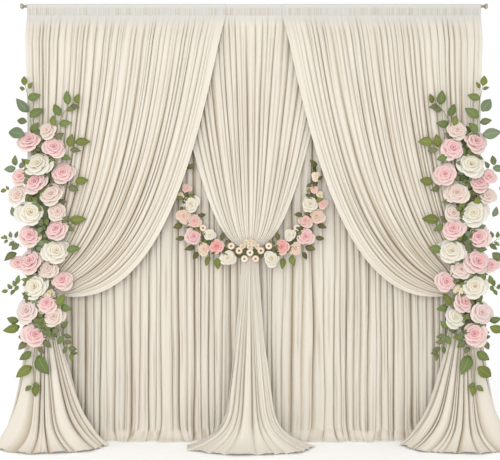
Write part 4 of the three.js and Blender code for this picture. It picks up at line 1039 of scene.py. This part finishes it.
def foliage_bodies(band, foliage, seed):
    """The leafy band behind the roses, from its half width, the count, lengths in mm and kinds of
    its leaves, and how much of its middle is bare: a lumpy mat along the band, and small leaves
    that stick out of it every way, more of them outwards."""
    half_width, count, lengths, kinds, bare = foliage
    rng = np.random.default_rng(seed)
    line = np.linspace(0, len(band) - 1, MAT_ROWS)
    path = along_band(band, line)
    way = np.gradient(path[:, :2], axis=0)
    way /= np.linalg.norm(way, axis=1, keepdims=True)
    s = np.linspace(-1, 1, MAT_COLUMNS)[None, :]
    width = half_width * (0.50 + 0.14 * np.sin(line * 9) + 0.08 * np.sin(line * 23 + 1))[:, None]
    width = width * np.sqrt(clamp(1 - np.abs(2 * line / line[-1] - 1) ** 9))[:, None] + 0.004
    lump = 0.004 * rng.uniform(-1, 1, (MAT_ROWS, MAT_COLUMNS))
    front = np.stack([
        path[:, 0:1] + s * width * way[:, 1:2],
        ROD_Y - path[:, 2:3] - (0.006 + 0.006 * (1 - s ** 2) + lump),
        path[:, 1:2] - s * width * way[:, 0:1],
    ], axis=-1)[None]
    mat_points, mat_quads = thin_bodies(front[:, :, ::-1], MAT_THICKNESS)
    mat_tints = np.tile(MAT_GREEN_AND_SHADE, (len(mat_points), 1))
    mat_tints[:, :3] *= rng.uniform(0.6, 1.4, (len(mat_points), 1))
    spot = rng.uniform(bare, 0.48, count) * rng.choice([-1, 1], count)
    spot = (0.5 + spot) * (len(band) - 1)
    off = rng.uniform(-1, 1, count)
    centre = along_band(band, spot)
    ahead = along_band(way, spot, line)
    x = centre[:, 0] + off * half_width * 0.95 * ahead[:, 1]
    z = centre[:, 1] - off * half_width * 0.95 * ahead[:, 0]
    outwards = np.degrees(np.arctan2(-off * ahead[:, 0], off * ahead[:, 1]))
    turn = outwards + rng.uniform(-70, 70, count)
    size = rng.uniform(lengths[0], lengths[1], count)
    kinds = rng.choice(kinds, count)
    leaves = list(zip(x * 1000, z * 1000, turn, size, kinds))
    small = leaf_bodies(leaves, band, seed + 1, along=5)
    return join_bodies([(mat_points, mat_quads, mat_tints), small])


leaf_cloth, leaf_shader = tinted("pressed leaf cloth", LEAF_ROUGHNESS)
leaf_shader.inputs["Specular IOR Level"].default_value = LEAF_SPECULAR

flipped_leaves = [(-x, z, 180 - turn, length, kind) for x, z, turn, length, kind in SIDE_LEAVES]
flipped_stems = [[(-x, z) for x, z in stem] for stem in SIDE_STEMS]
for name, leaves, stems, band, foliage, seed in (
    ("left_garland_leaves", SIDE_LEAVES, SIDE_STEMS, SIDE_BAND, SIDE_FOLIAGE, 71),
    ("right_garland_leaves", flipped_leaves, flipped_stems, mirrored_band, SIDE_FOLIAGE, 72),
    ("centre_garland_leaves", CENTRE_LEAVES, None, CENTRE_BAND, CENTRE_FOLIAGE, 73),
):
    parts = [leaf_bodies(leaves, band, seed), foliage_bodies(band, foliage, seed + 5)]
    if stems:
        parts.append(stem_bodies(stems, band, STALK_RADIUS))
    points, quads, tints = join_bodies(parts)
    leaf_piece = new_piece(name, points, quads, leaf_cloth, tints=tints)
    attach(leaf_piece, "root")
    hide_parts("garland_" + name.split("_")[0])

# Beads
# Pearly rings in cream and peach, wired into the middle of the centre garland, over the knot.

BEADS = [
    (-337, 1423), (283, 1423), (-150, 1305), (-98, 1275), (-27, 1262), (44, 1275), (96, 1305),
    (-63, 1222), (9, 1222),
]
BEAD_SIZE = 0.024
BEAD_TINTS = [(0.64, 0.50, 0.37), (0.66, 0.55, 0.43), (0.63, 0.46, 0.35)]
BEAD_HOLE_SHADE = (0.20, 0.11, 0.05)
BEAD_ROUGHNESS = 0.28
BEAD_COAT = 0.3
BEAD_ROUND = 20
BEAD_TUBE = 10


def ring_beads(beads, band, seed):
    """Round rings that face the front: a circle of radius 0.41 size turned about one of 0.59.
    Round its hole a brown is painted as the shade inside the hole."""
    rng = np.random.default_rng(seed)
    x, z = np.array(beads, float).T / 1000
    depth = band_depth(band, x, z) + BAND_HALF + 0.2 * BEAD_SIZE
    round_way = (2 * np.pi * np.arange(BEAD_ROUND) / BEAD_ROUND)[None, :, None]
    tube_way = (2 * np.pi * np.arange(BEAD_TUBE) / BEAD_TUBE)[None, None, :]
    radius = BEAD_SIZE * (0.59 + 0.41 * np.cos(tube_way))
    px = x[:, None, None] + radius * np.cos(round_way)
    pz = z[:, None, None] + radius * np.sin(round_way)
    py = ROD_Y - depth[:, None, None] - BEAD_SIZE * 0.41 * np.sin(tube_way) + 0 * px
    points = np.stack([px, py, pz], axis=-1)
    step, side = np.meshgrid(np.arange(BEAD_ROUND), np.arange(BEAD_TUBE), indexing="ij")
    here = step * BEAD_TUBE
    ahead = (step + 1) % BEAD_ROUND * BEAD_TUBE
    beside = (side + 1) % BEAD_TUBE
    one = np.stack([here + side, ahead + side, ahead + beside, here + beside], axis=2)
    starts = np.arange(len(beads)) * BEAD_ROUND * BEAD_TUBE
    quads = (one.reshape(-1, 4)[None] + starts[:, None, None]).reshape(-1, 4)
    tint = np.array(BEAD_TINTS)[rng.integers(0, 3, len(beads))][:, None, None, :]
    # Painted shade: the inner side of the ring, round the hole, is brown.
    hole_shade = smoothstep(-np.cos(tube_way), 0.70, 1.0)[..., None]
    tints = lerp(tint, np.array(BEAD_HOLE_SHADE), hole_shade)
    tints = np.broadcast_to(tints, (len(beads), BEAD_ROUND, BEAD_TUBE, 3)).reshape(-1, 3)
    tints = np.concatenate([tints, np.ones((len(tints), 1))], axis=1)
    return points.reshape(-1, 3), quads, tints


pearl, pearl_shader = tinted("pearl bead", BEAD_ROUGHNESS)
pearl_shader.inputs["Coat Weight"].default_value = BEAD_COAT

bead_points, bead_quads, bead_tints = ring_beads(BEADS, CENTRE_BAND, 81)
beads = new_piece("knot_beads", bead_points, bead_quads, pearl, tints=bead_tints)
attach(beads, "root")
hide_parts("garland_centre")

# Floor, light and camera
# A plain white floor, an even white sky and one large soft light from the upper left.

CAMERA_PLACE = (-0.027, -4.838, 1.410)
CAMERA_LENS = 53.5
CAMERA_FILM_WIDTH = 36.0
FLOOR_REACH = 30
FLOOR_ROUGHNESS = 0.9
KEY_PLACE = (-0.8, -5.8, 2.1)
KEY_AIM = (0.0, 0.0, 1.1)
KEY_POWER = 165.0
KEY_SIZE = 3.2

floor_mesh = bpy.data.meshes.new("studio_floor")
floor_corners = [(-1, -1, 0), (1, -1, 0), (1, 1, 0), (-1, 1, 0)]
floor_mesh.from_pydata([Vector(corner) * FLOOR_REACH for corner in floor_corners], [], [(0, 1, 2, 3)])
floor = bpy.data.objects.new("studio_floor", floor_mesh)
bpy.context.collection.objects.link(floor)
floor_white = bpy.data.materials.new("plain white floor")
floor_white.use_nodes = True
floor_shader = floor_white.node_tree.nodes["Principled BSDF"]
floor_shader.inputs["Base Color"].default_value = (1, 1, 1, 1)
floor_shader.inputs["Roughness"].default_value = FLOOR_ROUGHNESS
floor_mesh.materials.append(floor_white)

world = bpy.data.worlds.new("even white sky")
world.use_nodes = True
sky = world.node_tree.nodes["Background"]
sky.inputs["Color"].default_value = (1, 1, 1, 1)
sky.inputs["Strength"].default_value = 1.0
bpy.context.scene.world = world

key_light = bpy.data.lights.new("soft key", "AREA")
key_light.energy = KEY_POWER
key_light.size = KEY_SIZE
key = bpy.data.objects.new("soft key", key_light)
key.location = KEY_PLACE
key_way = Vector(KEY_AIM) - Vector(KEY_PLACE)
key.rotation_euler = key_way.to_track_quat("-Z", "Y").to_euler()
bpy.context.collection.objects.link(key)

camera_data = bpy.data.cameras.new("front camera")
camera_data.lens = CAMERA_LENS
camera_data.sensor_width = CAMERA_FILM_WIDTH
camera = bpy.data.objects.new("front camera", camera_data)
camera.location = CAMERA_PLACE
camera.rotation_euler = (math.radians(90), 0, 0)
bpy.context.collection.objects.link(camera)
bpy.context.scene.camera = camera
bpy.context.scene.view_settings.view_transform = "Standard"
